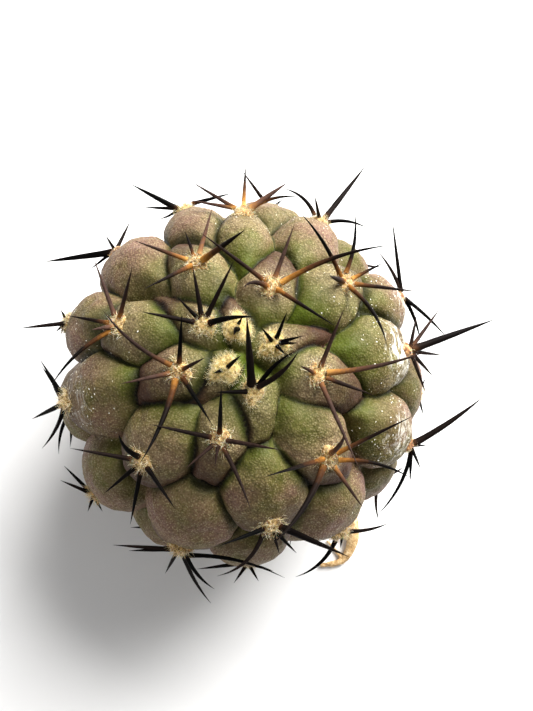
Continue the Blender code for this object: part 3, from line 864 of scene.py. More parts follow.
@dataclass
class StemShape:
    """The stem's surface: a flattened globe with a swollen tubercle under each areole of the spiral."""

    radius: float = 0.0287
    crown_height: float = 0.024
    underside_depth: float = 0.0225
    ring_height: float = 0.0265
    foot_seat: float = -0.0180
    crown_dip: float = 0.0012
    dip_reach: float = 0.3
    smooth_underside: float = math.radians(132.0)
    underside_calm: float = 0.42
    crown_half_width: float = 0.0020
    flank_half_width: float = 0.0050
    width_power: float = 0.6
    crown_neck: float = 0.0012
    neck_growth: float = 0.0118
    longest_neck: float = 0.0145
    crest_shift: tuple = (0.0008, -0.0042)
    crest_span: tuple = (math.radians(25.0), math.radians(60.0))
    chin_length: float = 0.0104
    chin_droop: float = 0.0011
    height_to_width: float = 0.92
    blend_power: float = 14.0
    dome_power: float = 0.62
    plateau: float = 2.5
    neck_roundness: float = 1.7
    chin_roundness: float = 2.4
    overlap: float = 1.25
    shoulder: float = 0.35
    neck_taper: float = 0.32
    neck_power: float = 1.5
    chin_taper: float = 0.2
    young_chin_taper: float = 0.5
    young_taper_reach: float = 0.3
    young_until: float = 8.0
    groove_depth: float = 0.0020
    groove_reach: float = 0.1
    spiral_start: float = 92.0
    spiral_step: float = 138.0
    tubercles: int = 44
    last_seen_polar: float = 98.5
    polar_step: float = 2.7
    seat_step: float = 0.02
    smallest_growth: float = 0.6
    woolly: int = 3
    fresh: int = 5
    rubbed: tuple[int, ...] = (15, 16, 20, 23)

    def __post_init__(self) -> None:
        """Lay out the spiral and work out each tubercle's axes and sizes."""
        self.areoles = list(SEEN_AREOLES)
        for index in range(len(SEEN_AREOLES), self.tubercles):
            past = index - len(SEEN_AREOLES) + 1
            azimuth = (self.spiral_start + self.spiral_step * index) % 360.0
            self.areoles.append(Areole(azimuth, self.last_seen_polar + self.polar_step * past))
        azimuths = np.radians([a.azimuth for a in self.areoles])
        polars = np.radians([a.polar for a in self.areoles])
        self.axes = np.array([direction(a, p) for a, p in zip(azimuths, polars)])
        self.down = np.array([direction(a, p + math.pi / 2) for a, p in zip(azimuths, polars)])
        self.side = np.cross(self.axes, self.down)
        self.rise = self.height_to_width * self.half_width(polars)
        self.width = self.half_width(polars) * np.array([a.breadth for a in self.areoles])
        inner, outer = self.crest_shift
        first, last = self.crest_span
        grown = np.clip((polars - first) / (last - first), 0.0, 1.0)
        self.crest = inner + (outer - inner) * grown ** 2 * (3.0 - 2.0 * grown)
        young = np.clip(1.0 - np.arange(self.tubercles) / self.young_until, 0.0, 1.0)
        self.taper = self.chin_taper + (self.young_chin_taper - self.chin_taper) * young
        self.taper_reach = 1.0 + (self.young_taper_reach - 1.0) * young
        self.neck = np.minimum(self.crown_neck + self.neck_growth * polars, self.longest_neck) + self.crest

    def half_width(self, polar: Array) -> Array:
        """Half width of a tubercle at a polar angle: small at the crown, grown down the flanks."""
        return self.crown_half_width + self.flank_half_width * np.sin(polar) ** self.width_power

    def domes(self, units: Array) -> tuple[Array, Array]:
        """Height of every tubercle's dome over each direction.

        Args:
            units: Unit vectors from the middle of the body.

        Returns:
            Heights, and the places along each tubercle, from -1 to 1 inside it.
        """
        along = (units @ self.down.T) * self.radius - self.crest
        along = np.where(along < 0.0, along / self.neck, along / self.chin_length)
        neck = np.clip((-along - self.shoulder) / (1.0 - self.shoulder), 0.0, 1.0) ** self.neck_power
        narrow = 1.0 - self.neck_taper * neck - self.taper * np.clip(along / self.taper_reach, 0.0, 1.0)
        across = (units @ self.side.T) * self.radius / (self.width * narrow)
        round_by = np.where(along < 0.0, self.neck_roundness, self.chin_roundness)
        reach = (np.abs(along) ** round_by + np.abs(across) ** round_by) ** (1.0 / round_by)
        inside = np.clip(1.0 - (reach / self.overlap) ** self.plateau, 0.0, 1.0)
        near = units @ self.axes.T > 0.0
        return np.where(near, inside ** self.dome_power * self.rise, 0.0), along

    @staticmethod
    def edge(domes: Array) -> Array:
        """How far each direction is from a crease: 0 where two domes are level, 1 where one stands alone."""
        ranked = np.partition(domes, -2, axis=1)
        return 1.0 - ranked[:, -2] / np.maximum(ranked[:, -1], TINY)

    def points(self, units: Array) -> Array:
        """Places on the skin for an array of unit vectors.

        Args:
            units: Unit vectors from the middle of the body.

        Returns:
            One place in metres for each.
        """
        polar = np.arccos(np.clip(units[:, 2], -1.0, 1.0))
        beneath = np.clip((polar - self.smooth_underside) / (math.pi - self.smooth_underside), 0.0, 1.0)
        full = self.height_to_width * self.half_width(polar) * (1.0 - self.underside_calm * beneath)
        domes = self.domes(units)[0]
        rise = np.sum(domes ** self.blend_power, axis=1) ** (1.0 / self.blend_power)
        height = np.where(units[:, 2] > 0.0, self.crown_height, self.underside_depth)
        outer = np.column_stack([units[:, :2] * self.radius, units[:, 2] * height])
        normal = np.column_stack([units[:, :2] / self.radius, units[:, 2] / height])
        normal /= np.linalg.norm(normal, axis=1)[:, None]
        level = np.hypot(units[:, 0], units[:, 1])
        rim = np.maximum(level, TINY)[:, None]
        downhill = np.column_stack([units[:, :2] / rim * units[:, 2:3], -level])
        share = (rise / full)[:, None]
        groove = self.groove_depth * level * np.exp(-self.edge(domes) / self.groove_reach) * (1.0 - beneath)
        skin = outer + normal * (rise - full - groove)[:, None]
        skin += downhill * self.chin_droop * level[:, None] * (share ** 2 - 1.0)
        skin[:, 2] -= self.crown_dip * bell(level, self.dip_reach) * (units[:, 2] > 0.0)
        skin[:, 2] = np.maximum(skin[:, 2], self.foot_seat) + self.ring_height
        return skin

    def seat(self, index: int) -> tuple[Array, Array, Array, Array]:
        """Where an areole sits.

        Args:
            index: The areole's number on the spiral.

        Returns:
            Its place, and the skin's outward, downhill and sideways directions there.
        """
        axis, down, side = self.axes[index], self.down[index], self.side[index]
        step = self.seat_step
        near = [axis, axis + step * down, axis - step * down, axis + step * side, axis - step * side]
        place, lower, upper, left, right = self.points(np.array([unit(u) for u in near]))
        outward = unit(np.cross(lower - upper, left - right))
        downhill = unit((lower - upper) - outward * np.dot(lower - upper, outward))
        return place, outward, downhill, np.cross(outward, downhill)

    def growth(self, index: int) -> float:
        """Size of an areole against the largest, which goes with the width of its tubercle."""
        grown = float(self.width[index] / (self.crown_half_width + self.flank_half_width))
        return self.smallest_growth + (1.0 - self.smallest_growth) * grown

    def felt_age(self, index: int) -> FeltAge:
        """How old the felt of an areole is.

        Args:
            index: The areole's number on the spiral.

        Returns:
            Its age.
        """
        if index < self.woolly:
            return FeltAge.WOOLLY
        if index < self.fresh:
            return FeltAge.FRESH
        if index in self.rubbed or index >= len(SEEN_AREOLES):
            return FeltAge.WORN
        return FeltAge.MATTED


@dataclass
class Stem:
    """The living body: one closed skin with all its tubercles, folds and colour marks."""

    shape: StemShape
    splits: int = 124
    crown_crowding: float = 0.32
    smoothing: int = 2
    fold_mm: float = 4.6
    fold_height: float = 1.3 * MM
    pucker_mm: float = 1.7
    pucker_height: float = 0.3 * MM
    bloom_reach: float = 0.19
    scurf_reach: float = 0.26
    blush_scatter: tuple = (-0.15, 0.2)
    seed: int = 7

    def sphere_grid(self) -> tuple[Array, Array]:
        """Unit vectors and quads of a cube blown up to a closed sphere, with more points at the crown.

        Returns:
            The unit vectors and the corner numbers of each quad.
        """
        count = self.splits + 1
        first, second = np.meshgrid(np.arange(count), np.arange(count), indexing="ij")
        quads = []
        for axis in range(3):
            for side in (0, self.splits):
                face = np.full((count, count, 3), side)
                face[..., (axis + 1) % 3] = first
                face[..., (axis + 2) % 3] = second
                ids = face @ np.array([count * count, count, 1])
                corners = np.stack([ids[:-1, :-1], ids[1:, :-1], ids[1:, 1:], ids[:-1, 1:]], axis=-1)
                quads.append((corners if side else corners[..., ::-1]).reshape(-1, 4))
        keys, numbers = np.unique(np.concatenate(quads), return_inverse=True)
        lattice = np.stack([keys // (count * count), keys // count % count, keys % count], axis=1)
        cube = np.tan((lattice / self.splits * 2.0 - 1.0) * math.pi / 4.0)
        units = cube / np.linalg.norm(cube, axis=1)[:, None]
        polar = np.arccos(np.clip(units[:, 2], -1.0, 1.0))
        moved = polar - self.crown_crowding * np.sin(polar)
        spread = np.sin(moved) / np.maximum(np.hypot(units[:, 0], units[:, 1]), TINY)
        units = np.column_stack([units[:, 0] * spread, units[:, 1] * spread, np.cos(moved)])
        return units, numbers.reshape(-1, 4)

    def marks(self, units: Array) -> dict:
        """What the skin's finish needs to know at each point.

        Args:
            units: Unit vectors of the points.

        Returns:
            Attribute name to an array.
        """
        domes, along = self.shape.domes(units)
        owner = domes.argmax(axis=1)
        draw = random.Random(self.seed)
        hidden = self.shape.tubercles - len(BLUSH)
        grown = [GROWN_BLUSH + draw.uniform(*self.blush_scatter) for _ in range(hidden)]
        blush = np.array([b / 10.0 for b in BLUSH] + grown)
        scurf = np.zeros(self.shape.tubercles)
        middles = self.shape.axes.copy()
        for index, strength, uphill in SCURF:
            scurf[index] = strength
            middles[index] = unit(self.shape.axes[index] - uphill * self.shape.down[index])
        apart, from_scurf = [
            np.arccos(np.clip(units @ centres.T, -1.0, 1.0)) for centres in (self.shape.axes, middles)
        ]
        return {
            "along": along[np.arange(len(units)), owner],
            "edge": self.shape.edge(domes),
            "blush": blush[owner],
            "scurf": (bell(from_scurf, self.scurf_reach) * scurf).max(axis=1),
            "felt": bell(apart.min(axis=1), self.bloom_reach),
        }

    @staticmethod
    def relief(tree: Tree, given: dict) -> Socket:
        """Soft folds and fine puckers pushed out of and into the skin.

        Args:
            tree: The geometry tree.
            given: Its named inputs.

        Returns:
            The skin.
        """
        heights = []
        for kind in ("Fold", "Pucker"):
            wave = ripple(tree, given[f"{kind} scale"], detail=2.0)
            heights.append(add_node(tree, MATH, (wave, given[f"{kind} height"]), operation="MULTIPLY"))
        place = add_node(tree, "GeometryNodeInputPosition")
        blur = {0: place, "Iterations": given["Smoothing"]}
        soft = add_node(tree, "GeometryNodeBlurAttribute", blur, data_type="FLOAT_VECTOR")
        return push_out(tree, given["Geometry"], add_node(tree, MATH, tuple(heights), operation="ADD"), soft)

    def build(self, finish: Material) -> Thing:
        """Make the skin.

        Args:
            finish: The skin's material.

        Returns:
            The stem's object.
        """
        units, quads = self.sphere_grid()
        places = self.shape.points(units).tolist()
        mesh = mesh_of("living_stem", places, quads.tolist(), **self.marks(units))
        return grow(plain_object("living_stem", mesh), "skin_relief", self.relief, {
            "Fold scale": per_mm(self.fold_mm), "Fold height": self.fold_height,
            "Pucker scale": per_mm(self.pucker_mm), "Pucker height": self.pucker_height,
            "Smoothing": self.smoothing, "Finish": finish,
        })


@dataclass
class Line:
    """A middle line with what its points carry."""

    places: list
    girths: list
    tones: list = field(default_factory=list)
    grey: float = 0.0


@dataclass(frozen=True)
class Sweep:
    """Round tapered bars swept along middle lines."""

    name: str
    sides: int
    steps: int
    waver: float
    waver_mm: float

    @staticmethod
    def bars(tree: Tree, given: dict) -> Socket:
        """Smooth each line, give it its girth with a slight waver, and sweep a circle along it.

        Args:
            tree: The geometry tree.
            given: Its named inputs.

        Returns:
            The bars.
        """
        curve = add_node(tree, "GeometryNodeMeshToCurve", {"Mesh": given["Geometry"]})
        curve = add_node(tree, "GeometryNodeCurveSplineType", {"Curve": curve}, spline_type="CATMULL_ROM")
        curve = add_node(tree, "GeometryNodeResampleCurve", {"Curve": curve, "Count": given["Steps"]})
        noise = ripple(tree, given["Waver scale"], detail=1.0)
        noise = add_node(tree, MATH, (noise, given["Waver"], 1.0), operation="MULTIPLY_ADD")
        girth = add_node(tree, "GeometryNodeInputNamedAttribute", {"Name": "girth"})
        girth = add_node(tree, MATH, (girth, noise), operation="MULTIPLY")
        return tube(tree, curve, given["Sides"], 1.0, girth)

    def build(self, lines: list[Line], finish: Material) -> Thing:
        """Sweep all the lines into one object.

        Args:
            lines: The middle lines.
            finish: The material.

        Returns:
            The object.
        """
        places, edges, girths, tones, greys = [], [], [], [], []
        for line in lines:
            first = len(places)
            places.extend([tuple(p) for p in line.places])
            edges.extend((k, k + 1) for k in range(first, len(places) - 1))
            girths.extend(line.girths)
            tones.extend(line.tones or [0.0] * len(line.places))
            greys.extend([line.grey] * len(line.places))
        mesh = mesh_of(self.name, places, [], edges, girth=girths, tone=tones, grey=greys)
        return grow(plain_object(self.name, mesh), self.name + "_sweep", self.bars, {
            "Sides": self.sides, "Steps": self.steps, "Waver": self.waver,
            "Waver scale": per_mm(self.waver_mm), "Finish": finish,
        })


@dataclass
class Spines:
    """Every spine of the plant, each at the place, bearing and length of its solid.

    Spreads, bows and the fan's lengths are in mm, the other lengths in metres and the angles in degrees.
    """

    shape: StemShape
    sweep: Sweep = Sweep("spines", sides=9, steps=13, waver=0.14, waver_mm=0.8)
    gap: float = 0.0003
    pad_height: float = 0.0009
    root_depth: float = 0.35
    root_spread: float = 0.45
    felt_spread: float = 0.95
    worn_spread: float = 0.2
    inset_share: float = 0.12
    radius: float = 0.00032
    young_girth: float = 1.06
    slim_share: float = 0.5
    full_length: float = 13.0 * MM
    slides: int = 121
    slide_reach: float = 1.5
    slide_cost: float = 14.0
    fan: tuple = (-92.0, -46.0, 2.0, 47.0, 93.0)
    fan_scatter: float = 11.0
    fan_lift: tuple = (24.0, 40.0)
    fan_length: tuple = (4.2, 7.5)
    fan_bow: float = 0.5
    lower_limit: float = 10.0
    lower_share: float = 0.6
    worn_span: float = 40.0
    worn_loss: float = 0.35
    seed: int = 41
    points: int = 8
    tip: float = 0.012 * MM
    bulb: float = 0.22
    bulb_length: float = 0.6 * MM
    taper_power: float = 2.1
    age_scatter: tuple = (0.6, 1.1)
    young_tone: float = 0.7
    young_tone_power: float = 1.3
    amber_reach: tuple = (0.08, 0.95)
    grey_scatter: tuple = (0.1, 1.05)
    grey_power: float = 4.0

    def seen_line(self, spine: Spine, start: Array, outward: Array) -> tuple[Array, float]:
        """Turn a spine's bearing and reach as seen from the viewpoint into a direction and a length.

        Its point lies somewhere on a line of sight. Of all places there, the one is taken that lifts the
        spine off the skin by about its own angle without slanting it much towards or away from the eye.

        Args:
            spine: The spine.
            start: Where it leaves its areole.
            outward: The skin's outward direction at its areole.

        Returns:
            The unit direction and the length in metres.
        """
        right, up, back = VIEW.axes()
        bearing = math.radians(spine.bearing)
        scale = float(np.dot(VIEW.place - start, back)) / VIEW.distance
        across = (math.cos(bearing) * right + math.sin(bearing) * up) * spine.reach * MM * scale
        sight = unit(start + across - VIEW.place)
        widest = max(self.slide_reach, self.slide_reach * math.tan(math.radians(spine.lift)))
        slides = np.linspace(-widest, widest, self.slides)
        lines = across + slides[:, None] * np.linalg.norm(across) * sight
        lengths = np.linalg.norm(lines, axis=1)
        lifts = np.degrees(np.arcsin(lines @ outward / lengths))
        slant = self.slide_cost * np.minimum(np.abs(slides), self.slide_reach)
        best = int(np.argmin(np.abs(lifts - spine.lift) + slant))
        return lines[best] / lengths[best], float(lengths[best])

    def fan_lines(self, index: int) -> list[tuple]:
        """The even fan of spines of an areole low on the flank.

        Args:
            index: The areole's number.

        Returns:
            Rows of direction, length, bow and stoutness.
        """
        areole = self.shape.areoles[index]
        _, outward, downhill, sideways = self.shape.seat(index)
        draw = random.Random(self.seed + int(areole.azimuth))
        worn = min(1.0, max(0.0, (areole.polar - self.shape.last_seen_polar) / self.worn_span))
        rows = []
        for bearing in self.fan:
            turn = math.radians(bearing + draw.uniform(-self.fan_scatter, self.fan_scatter))
            lift = math.radians(draw.uniform(*self.fan_lift))
            length = draw.uniform(*self.fan_length) * (1.0 - self.worn_loss * worn)
            if abs(bearing) < self.lower_limit:
                length *= self.lower_share
            flat = math.cos(turn) * downhill + math.sin(turn) * sideways
            heading = math.cos(lift) * flat + math.sin(lift) * outward
            rows.append((heading, length * MM, draw.uniform(-self.fan_bow, self.fan_bow), 1.0))
        return rows

    def lines(self) -> list[Line]:
        """The middle line, girth and colour marks of every spine.

        Returns:
            One line for each spine.
        """
        draw = random.Random(self.seed)
        lines = []
        for index, areole in enumerate(self.shape.areoles):
            place, outward, _, _ = self.shape.seat(index)
            growth = self.shape.growth(index)
            core = place + outward * (self.gap + self.pad_height * self.root_depth * growth)
            worn = self.shape.felt_age(index) is FeltAge.WORN
            spread = self.worn_spread if worn else self.felt_spread
            amber = AMBER[index] / 10.0 if index < len(AMBER) else GROWN_AMBER
            seen = [Spine(*row) for row in areole.spines]
            rows = [(*self.seen_line(spine, core, outward), spine.bow, spine.stout) for spine in seen]
            for heading, length, bow, stout in rows or self.fan_lines(index):
                flat = heading - outward * float(np.dot(heading, outward))
                inset = min(spread, self.inset_share * length / MM) * MM * growth
                start = core + flat * self.root_spread * MM * growth + unit(flat) * inset
                length -= inset * float(np.dot(unit(flat), heading))
                girth = self.radius * stout * min(1.0, self.slim_share + length / self.full_length)
                if index < self.shape.fresh:
                    girth *= self.young_girth
                age = amber * draw.uniform(*self.age_scatter)
                grey = age * draw.uniform(*self.grey_scatter) ** self.grey_power
                lines.append(self.line(start, heading * length, bow, girth, age, grey))
        return lines

    def line(self, start: Array, whole: Array, bow: float, girth: float, age: float, grey: float) -> Line:
        """One spine's middle line with its taper and its colour.

        Args:
            start: Where it leaves the felt.
            whole: From there to its point.
            bow: How far its middle is bent sideways, in mm.
            girth: Its radius at the base.
            age: 0 for a new black spine, 1 for an old one with an amber base.
            grey: How weathered it is.

        Returns:
            The line.
        """
        length = float(np.linalg.norm(whole))
        sideways = unit(np.cross(np.array([0.0, 0.0, 1.0]), whole / length))
        shortest, growing = self.amber_reach
        places, girths, tones = [], [], []
        for step in range(self.points):
            share = step / (self.points - 1)
            places.append(start + whole * share + sideways * bow * MM * 4.0 * share * (1.0 - share))
            swell = 1.0 + self.bulb * bell(share * length, self.bulb_length)
            girths.append(max(self.tip, girth * swell * (1.0 - share ** self.taper_power)))
            tone = self.young_tone * (1.0 - age) ** self.young_tone_power
            tones.append(min(1.0, tone + share / (shortest + growing * age)))
        return Line(places, girths, tones, grey)

    def build(self, finish: Material) -> Thing:
        """Make all the spines."""
        return self.sweep.build(self.lines(), finish)


@dataclass
class Felt:
    """The felt cushions of the areoles, which follow the skin, and the wool that stands on them."""

    shape: StemShape
    half_width: float = 1.6 * MM
    half_length: float = 1.85 * MM
    height: float = 0.8 * MM
    rings: int = 9
    sectors: int = 26
    sunk: float = 0.25 * MM
    ragged: tuple = ((3.0, 0.13), (5.0, 0.09))
    lumps: tuple = (4.0, 7.0)
    lump: float = 0.3
    dome_power: float = 0.7
    sink_power: float = 4.0
    # Cushions are tinted darker than most fibres: painted shade under and between the wool
    tint: float = 0.3
    reach_scatter: tuple = (0.85, 1.15)
    # Against the fibre's length, and thicker than a real hair of felt, which would not show
    fibre_radius: float = 0.048
    fibre_steps: int = 3
    fibre_sides: int = 3
    fibre_root: float = -0.15
    fibre_bend: float = 0.75
    fibre_tip: float = 0.25
    fibre_tints: tuple = (0.1, 1.05)
    fibre_lengths: tuple = (0.45 * MM, 1.15 * MM)
    fibre_turns: tuple = ((-1.0, -1.0, -6.0), (1.0, 1.0, 6.0))
    tilt: float = 1.05
    seed: int = 12

    def lattice(self, closed: bool) -> tuple[list, list]:
        """The rings and sectors that all cushions share.

        Args:
            closed: Whether there is an underside.

        Returns:
            Rows of radius and turn, and the corner numbers of each face.
        """
        rows = [(0.0, 0.0)]
        for ring in range(1, self.rings + 1):
            for sector in range(self.sectors):
                rows.append((ring / self.rings, 2.0 * math.pi * sector / self.sectors))
        faces = []
        rim = len(rows) - self.sectors
        for sector in range(self.sectors):
            faces.append((0, 1 + sector, 1 + (sector + 1) % self.sectors))
            faces.extend(ring_quad(ring, sector, self.sectors) for ring in range(1, rim, self.sectors))
        for sector in range(self.sectors if closed else 0):
            faces.append((rim + (sector + 1) % self.sectors, rim + sector, len(rows)))
        return rows, faces

    def cushions(self, closed: bool) -> Mesh:
        """All cushions in one mesh, each a lumpy low dome whose rim is sunk into the skin.

        Args:
            closed: Whether each has its underside, which the wool's own copy doesn't need.

        Returns:
            The mesh with its marks.
        """
        draw = random.Random(self.seed)
        rows, pattern = self.lattice(closed)
        round_about, outwards = self.lumps
        places, faces, fresh, reach, thick = [], [], [], [], []
        for index, axis in enumerate(self.shape.axes):
            freshness, fibre, density, spread = self.shape.felt_age(index).value
            outward = self.shape.seat(index)[1]
            growth = self.shape.growth(index)
            size = growth * spread
            phases = [draw.uniform(0.0, WHOLE_TURN) for _ in range(4)]
            units, lifts = [], []
            for radius, turn in rows:
                ragged = 1.0 + sum(much * math.sin(k * turn + p) for (k, much), p in zip(self.ragged, phases))
                down = math.cos(turn) * radius * ragged * self.half_length * size / self.shape.radius
                side = math.sin(turn) * radius * ragged * self.half_width * size / self.shape.radius
                units.append(unit(axis + down * self.shape.down[index] + side * self.shape.side[index]))
                lumps = math.sin(round_about * turn + phases[2]) * math.sin(outwards * radius + phases[3])
                dome = (1.0 - radius ** 2) ** self.dome_power * (1.0 + self.lump * lumps * radius)
                lifts.append(self.height * growth * dome - self.sunk * radius ** self.sink_power)
            skin = self.shape.points(np.array(units))
            first = len(places)
            faces.extend(tuple(first + corner for corner in face) for face in pattern)
            places.extend((p + outward * lift).tolist() for p, lift in zip(skin, lifts))
            if closed:
                places.append((skin[0] - outward * self.sunk * 2.0).tolist())
            count = len(places) - first
            fresh.extend([freshness] * count)
            reach.extend([fibre * draw.uniform(*self.reach_scatter)] * count)
            thick.extend([density] * count)
        # The cushions' darker tint is painted shade under the wool
        tint = np.full(len(places), self.tint)
        return mesh_of("felt_cushions", places, faces, fresh=fresh, reach=reach, thick=thick, tint=tint)

    def wool(self, tree: Tree, given: dict) -> Socket:
        """Short bent fibres scattered over the cushions, each turned and tilted its own way.

        Args:
            tree: The geometry tree.
            given: Its named inputs.

        Returns:
            The fibres.
        """
        ends = {"Start": (0.0, 0.0, self.fibre_root), "End": (0.0, 0.0, 1.0)}
        line = add_node(tree, "GeometryNodeCurvePrimitiveLine", ends)
        line = add_node(tree, "GeometryNodeResampleCurve", {"Curve": line, "Count": given["Fibre steps"]})
        share = add_node(tree, "GeometryNodeSplineParameter")
        bend = add_node(tree, MATH, (share, 2.0), operation="POWER")
        bend = add_node(tree, MATH, (bend, self.fibre_bend), operation="MULTIPLY")
        offset = add_node(tree, "ShaderNodeCombineXYZ", {"X": bend})
        line = add_node(tree, "GeometryNodeSetPosition", {"Geometry": line, "Offset": offset})
        taper = add_node(tree, RANGE, (share, 0.0, 1.0, 1.0, self.fibre_tip))
        fibre = tube(tree, line, given["Fibre sides"], given["Fibre radius"], taper)
        thick, reach = [
            add_node(tree, "GeometryNodeInputNamedAttribute", {"Name": name}) for name in ("thick", "reach")
        ]
        density = add_node(tree, MATH, (thick, 1.0 / (MM * MM)), operation="MULTIPLY")
        turns = [
            add_node(tree, "ShaderNodeVectorMath", {0: most, "Scale": given["Tilt"]}, operation="SCALE")
            for most in self.fibre_turns
        ]
        return scatter(tree, given, density, fibre, turns, self.fibre_tints, self.fibre_lengths, reach)

    def build(self, finish: Material) -> tuple[Thing, Thing]:
        """Make the cushions and their wool.

        Args:
            finish: The felt's material.

        Returns:
            The cushions' object and the wool's.
        """
        wool = grow(plain_object("areole_wool", self.cushions(closed=False)), "areole_wool", self.wool, {
            "Fibre radius": self.fibre_radius, "Fibre steps": self.fibre_steps,
            "Fibre sides": self.fibre_sides, "Tilt": self.tilt, "Seed": self.seed, "Finish": finish,
        })
        cushions = plain_object("felt_cushions", self.cushions(closed=True))
        cushions.data.materials.append(finish)
        cushions.data.shade_smooth()
        return cushions, wool


@dataclass
class Root:
    """The corky root crown on its flat foot, with the dried side roots that lie round it."""

    shape: StemShape
    profile: tuple = ((0.0, 0.0068), (0.12, 0.0082), (0.45, 0.0078), (0.8, 0.0068), (1.0, 0.0058))
    levels: int = 22
    sectors: int = 64
    # Waves round the crown: how many, how they twist with height, and how deep they are
    waves: tuple = ((3.0, 2.0, 0.07), (5.0, -1.0, 0.04))
    steps: int = 9
    clearance: float = 0.0001
    gap: float = 0.0003
    seed: int = 41
    start: float = 3.0 * MM
    thinning: float = 0.7
    thinning_power: float = 1.5
    drop_share: float = 0.2
    curl_power: float = 3.0
    sway: float = 14.0
    sway_waves: float = 8.0
    swelling: float = 0.2
    swell_at: float = 0.76
    swell_span: float = 0.1
    end_thinning: float = 0.38
    fork: float = 0.89
    fork_turn: float = -62.0
    fork_length: float = 4.6 * MM
    fork_steps: int = 4
    fork_girth: tuple = (0.6, 0.32)
    voxel: float = 0.25 * MM
    sweep: Sweep = Sweep("dried_root", sides=16, steps=70, waver=0.35, waver_mm=2.5)
    bark_mm: float = 1.3
    bark_height: float = 0.5 * MM
    bark_middle: float = 0.56

    def path(self, root: SideRoot) -> Line:
        """Middle line of a side root: out of the crown, down to the surface and away along it.

        Args:
            root: The side root.

        Returns:
            The line with its girths.
        """
        draw = random.Random(self.seed + int(root.azimuth))
        wave = draw.uniform(0.0, WHOLE_TURN)
        place = self.start * direction(math.radians(root.azimuth), math.pi / 2)
        stride = root.length * MM / self.steps
        places, girths = [], []
        for step in range(self.steps + 1):
            share = step / self.steps
            radius = root.thickness * MM / 2.0 * (1.0 - self.thinning * share ** self.thinning_power)
            radius *= 1.0 + self.swelling * bell(share - self.swell_at, self.swell_span)
            radius *= 1.0 - self.end_thinning * max(0.0, (share - self.swell_at) / (1.0 - self.swell_at))
            place[2] = radius + self.clearance + root.start_height * MM * bell(share, self.drop_share)
            places.append(place.copy())
            girths.append(radius)
            turn = root.curl * share ** self.curl_power + self.sway * math.sin(wave + self.sway_waves * share)
            place = place + stride * direction(math.radians(root.azimuth + turn), math.pi / 2)
        return Line(places, girths)

    def branch(self, parent: Line) -> Line:
        """A short fork off the first, longest root.

        Args:
            parent: The root that it grows from.

        Returns:
            The line with its girths.
        """
        fork = round(self.fork * self.steps)
        ahead = parent.places[fork + 1] - parent.places[fork]
        heading = math.atan2(ahead[1], ahead[0]) + math.radians(self.fork_turn)
        ahead = direction(heading, math.pi / 2)
        thick, thin = self.fork_girth
        places, girths = [], []
        for step in range(self.fork_steps + 1):
            share = step / self.fork_steps
            radius = parent.girths[fork] * (thick + (thin - thick) * share)
            place = parent.places[fork] + ahead * self.fork_length * share
            place[2] = radius + self.clearance
            places.append(place)
            girths.append(radius)
        return Line(places, girths)

    def crown(self) -> Thing:
        """The turned, wobbling root crown under the stem.

        Returns:
            The crown's object.
        """
        top = self.shape.ring_height + self.shape.foot_seat - self.gap
        shares, radii = zip(*self.profile)
        places, faces = [], []
        for row in range(self.levels + 1):
            level = row / self.levels
            radius = float(np.interp(level, shares, radii))
            for sector in range(self.sectors):
                turn = 2.0 * math.pi * sector / self.sectors
                wave = 1.0 + sum(deep * math.sin(k * turn + twist * level) for k, twist, deep in self.waves)
                reach = radius * wave
                places.append((reach * math.cos(turn), reach * math.sin(turn), top * (1.0 - level)))
        last = self.levels * self.sectors
        for ring in range(0, last, self.sectors):
            faces.extend(ring_quad(ring, sector, self.sectors) for sector in range(self.sectors))
        faces.append(tuple(range(self.sectors)))
        faces.append(tuple(reversed(range(last, last + self.sectors))))
        return plain_object("root_crown", mesh_of("root_crown", places, faces))

    def bark(self, tree: Tree, given: dict) -> Socket:
        """Corky furrows pushed into the bark, which stays above the surface.

        Args:
            tree: The geometry tree.
            given: Its named inputs.

        Returns:
            The bark.
        """
        noise = ripple(tree, given["Bark scale"], detail=3.0, centre=self.bark_middle, distortion=0.5)
        height = add_node(tree, MATH, (noise, given["Bark height"]), operation="MULTIPLY")
        bark = push_out(tree, given["Geometry"], height)
        place = add_node(tree, "GeometryNodeInputPosition")
        across, along, up = add_node(tree, "ShaderNodeSeparateXYZ", (place,)).node.outputs
        held = add_node(tree, MATH, (up, 0.0), operation="MAXIMUM")
        above = add_node(tree, "ShaderNodeCombineXYZ", (across, along, held))
        return add_node(tree, "GeometryNodeSetPosition", {"Geometry": bark, "Position": above})

    def build(self, finish: Material) -> Thing:
        """Grow the roots into the crown as one skin of bark.

        Args:
            finish: The bark's material.

        Returns:
            The root's object.
        """
        lines = [self.path(root) for root in SIDE_ROOTS]
        roots = self.sweep.build([*lines, self.branch(lines[0])], finish)
        crown = self.crown()
        bpy.context.view_layer.objects.active = roots
        with bpy.context.temp_override(active_object=roots, selected_editable_objects=[roots, crown]):
            bpy.ops.object.join()
        skin = roots.modifiers.new("one_skin", "REMESH")
        skin.mode = "VOXEL"
        skin.voxel_size = self.voxel
        return grow(take_result(roots, skin), "bark_relief", self.bark, {
            "Bark scale": per_mm(self.bark_mm), "Bark height": self.bark_height, "Finish": finish,
        })


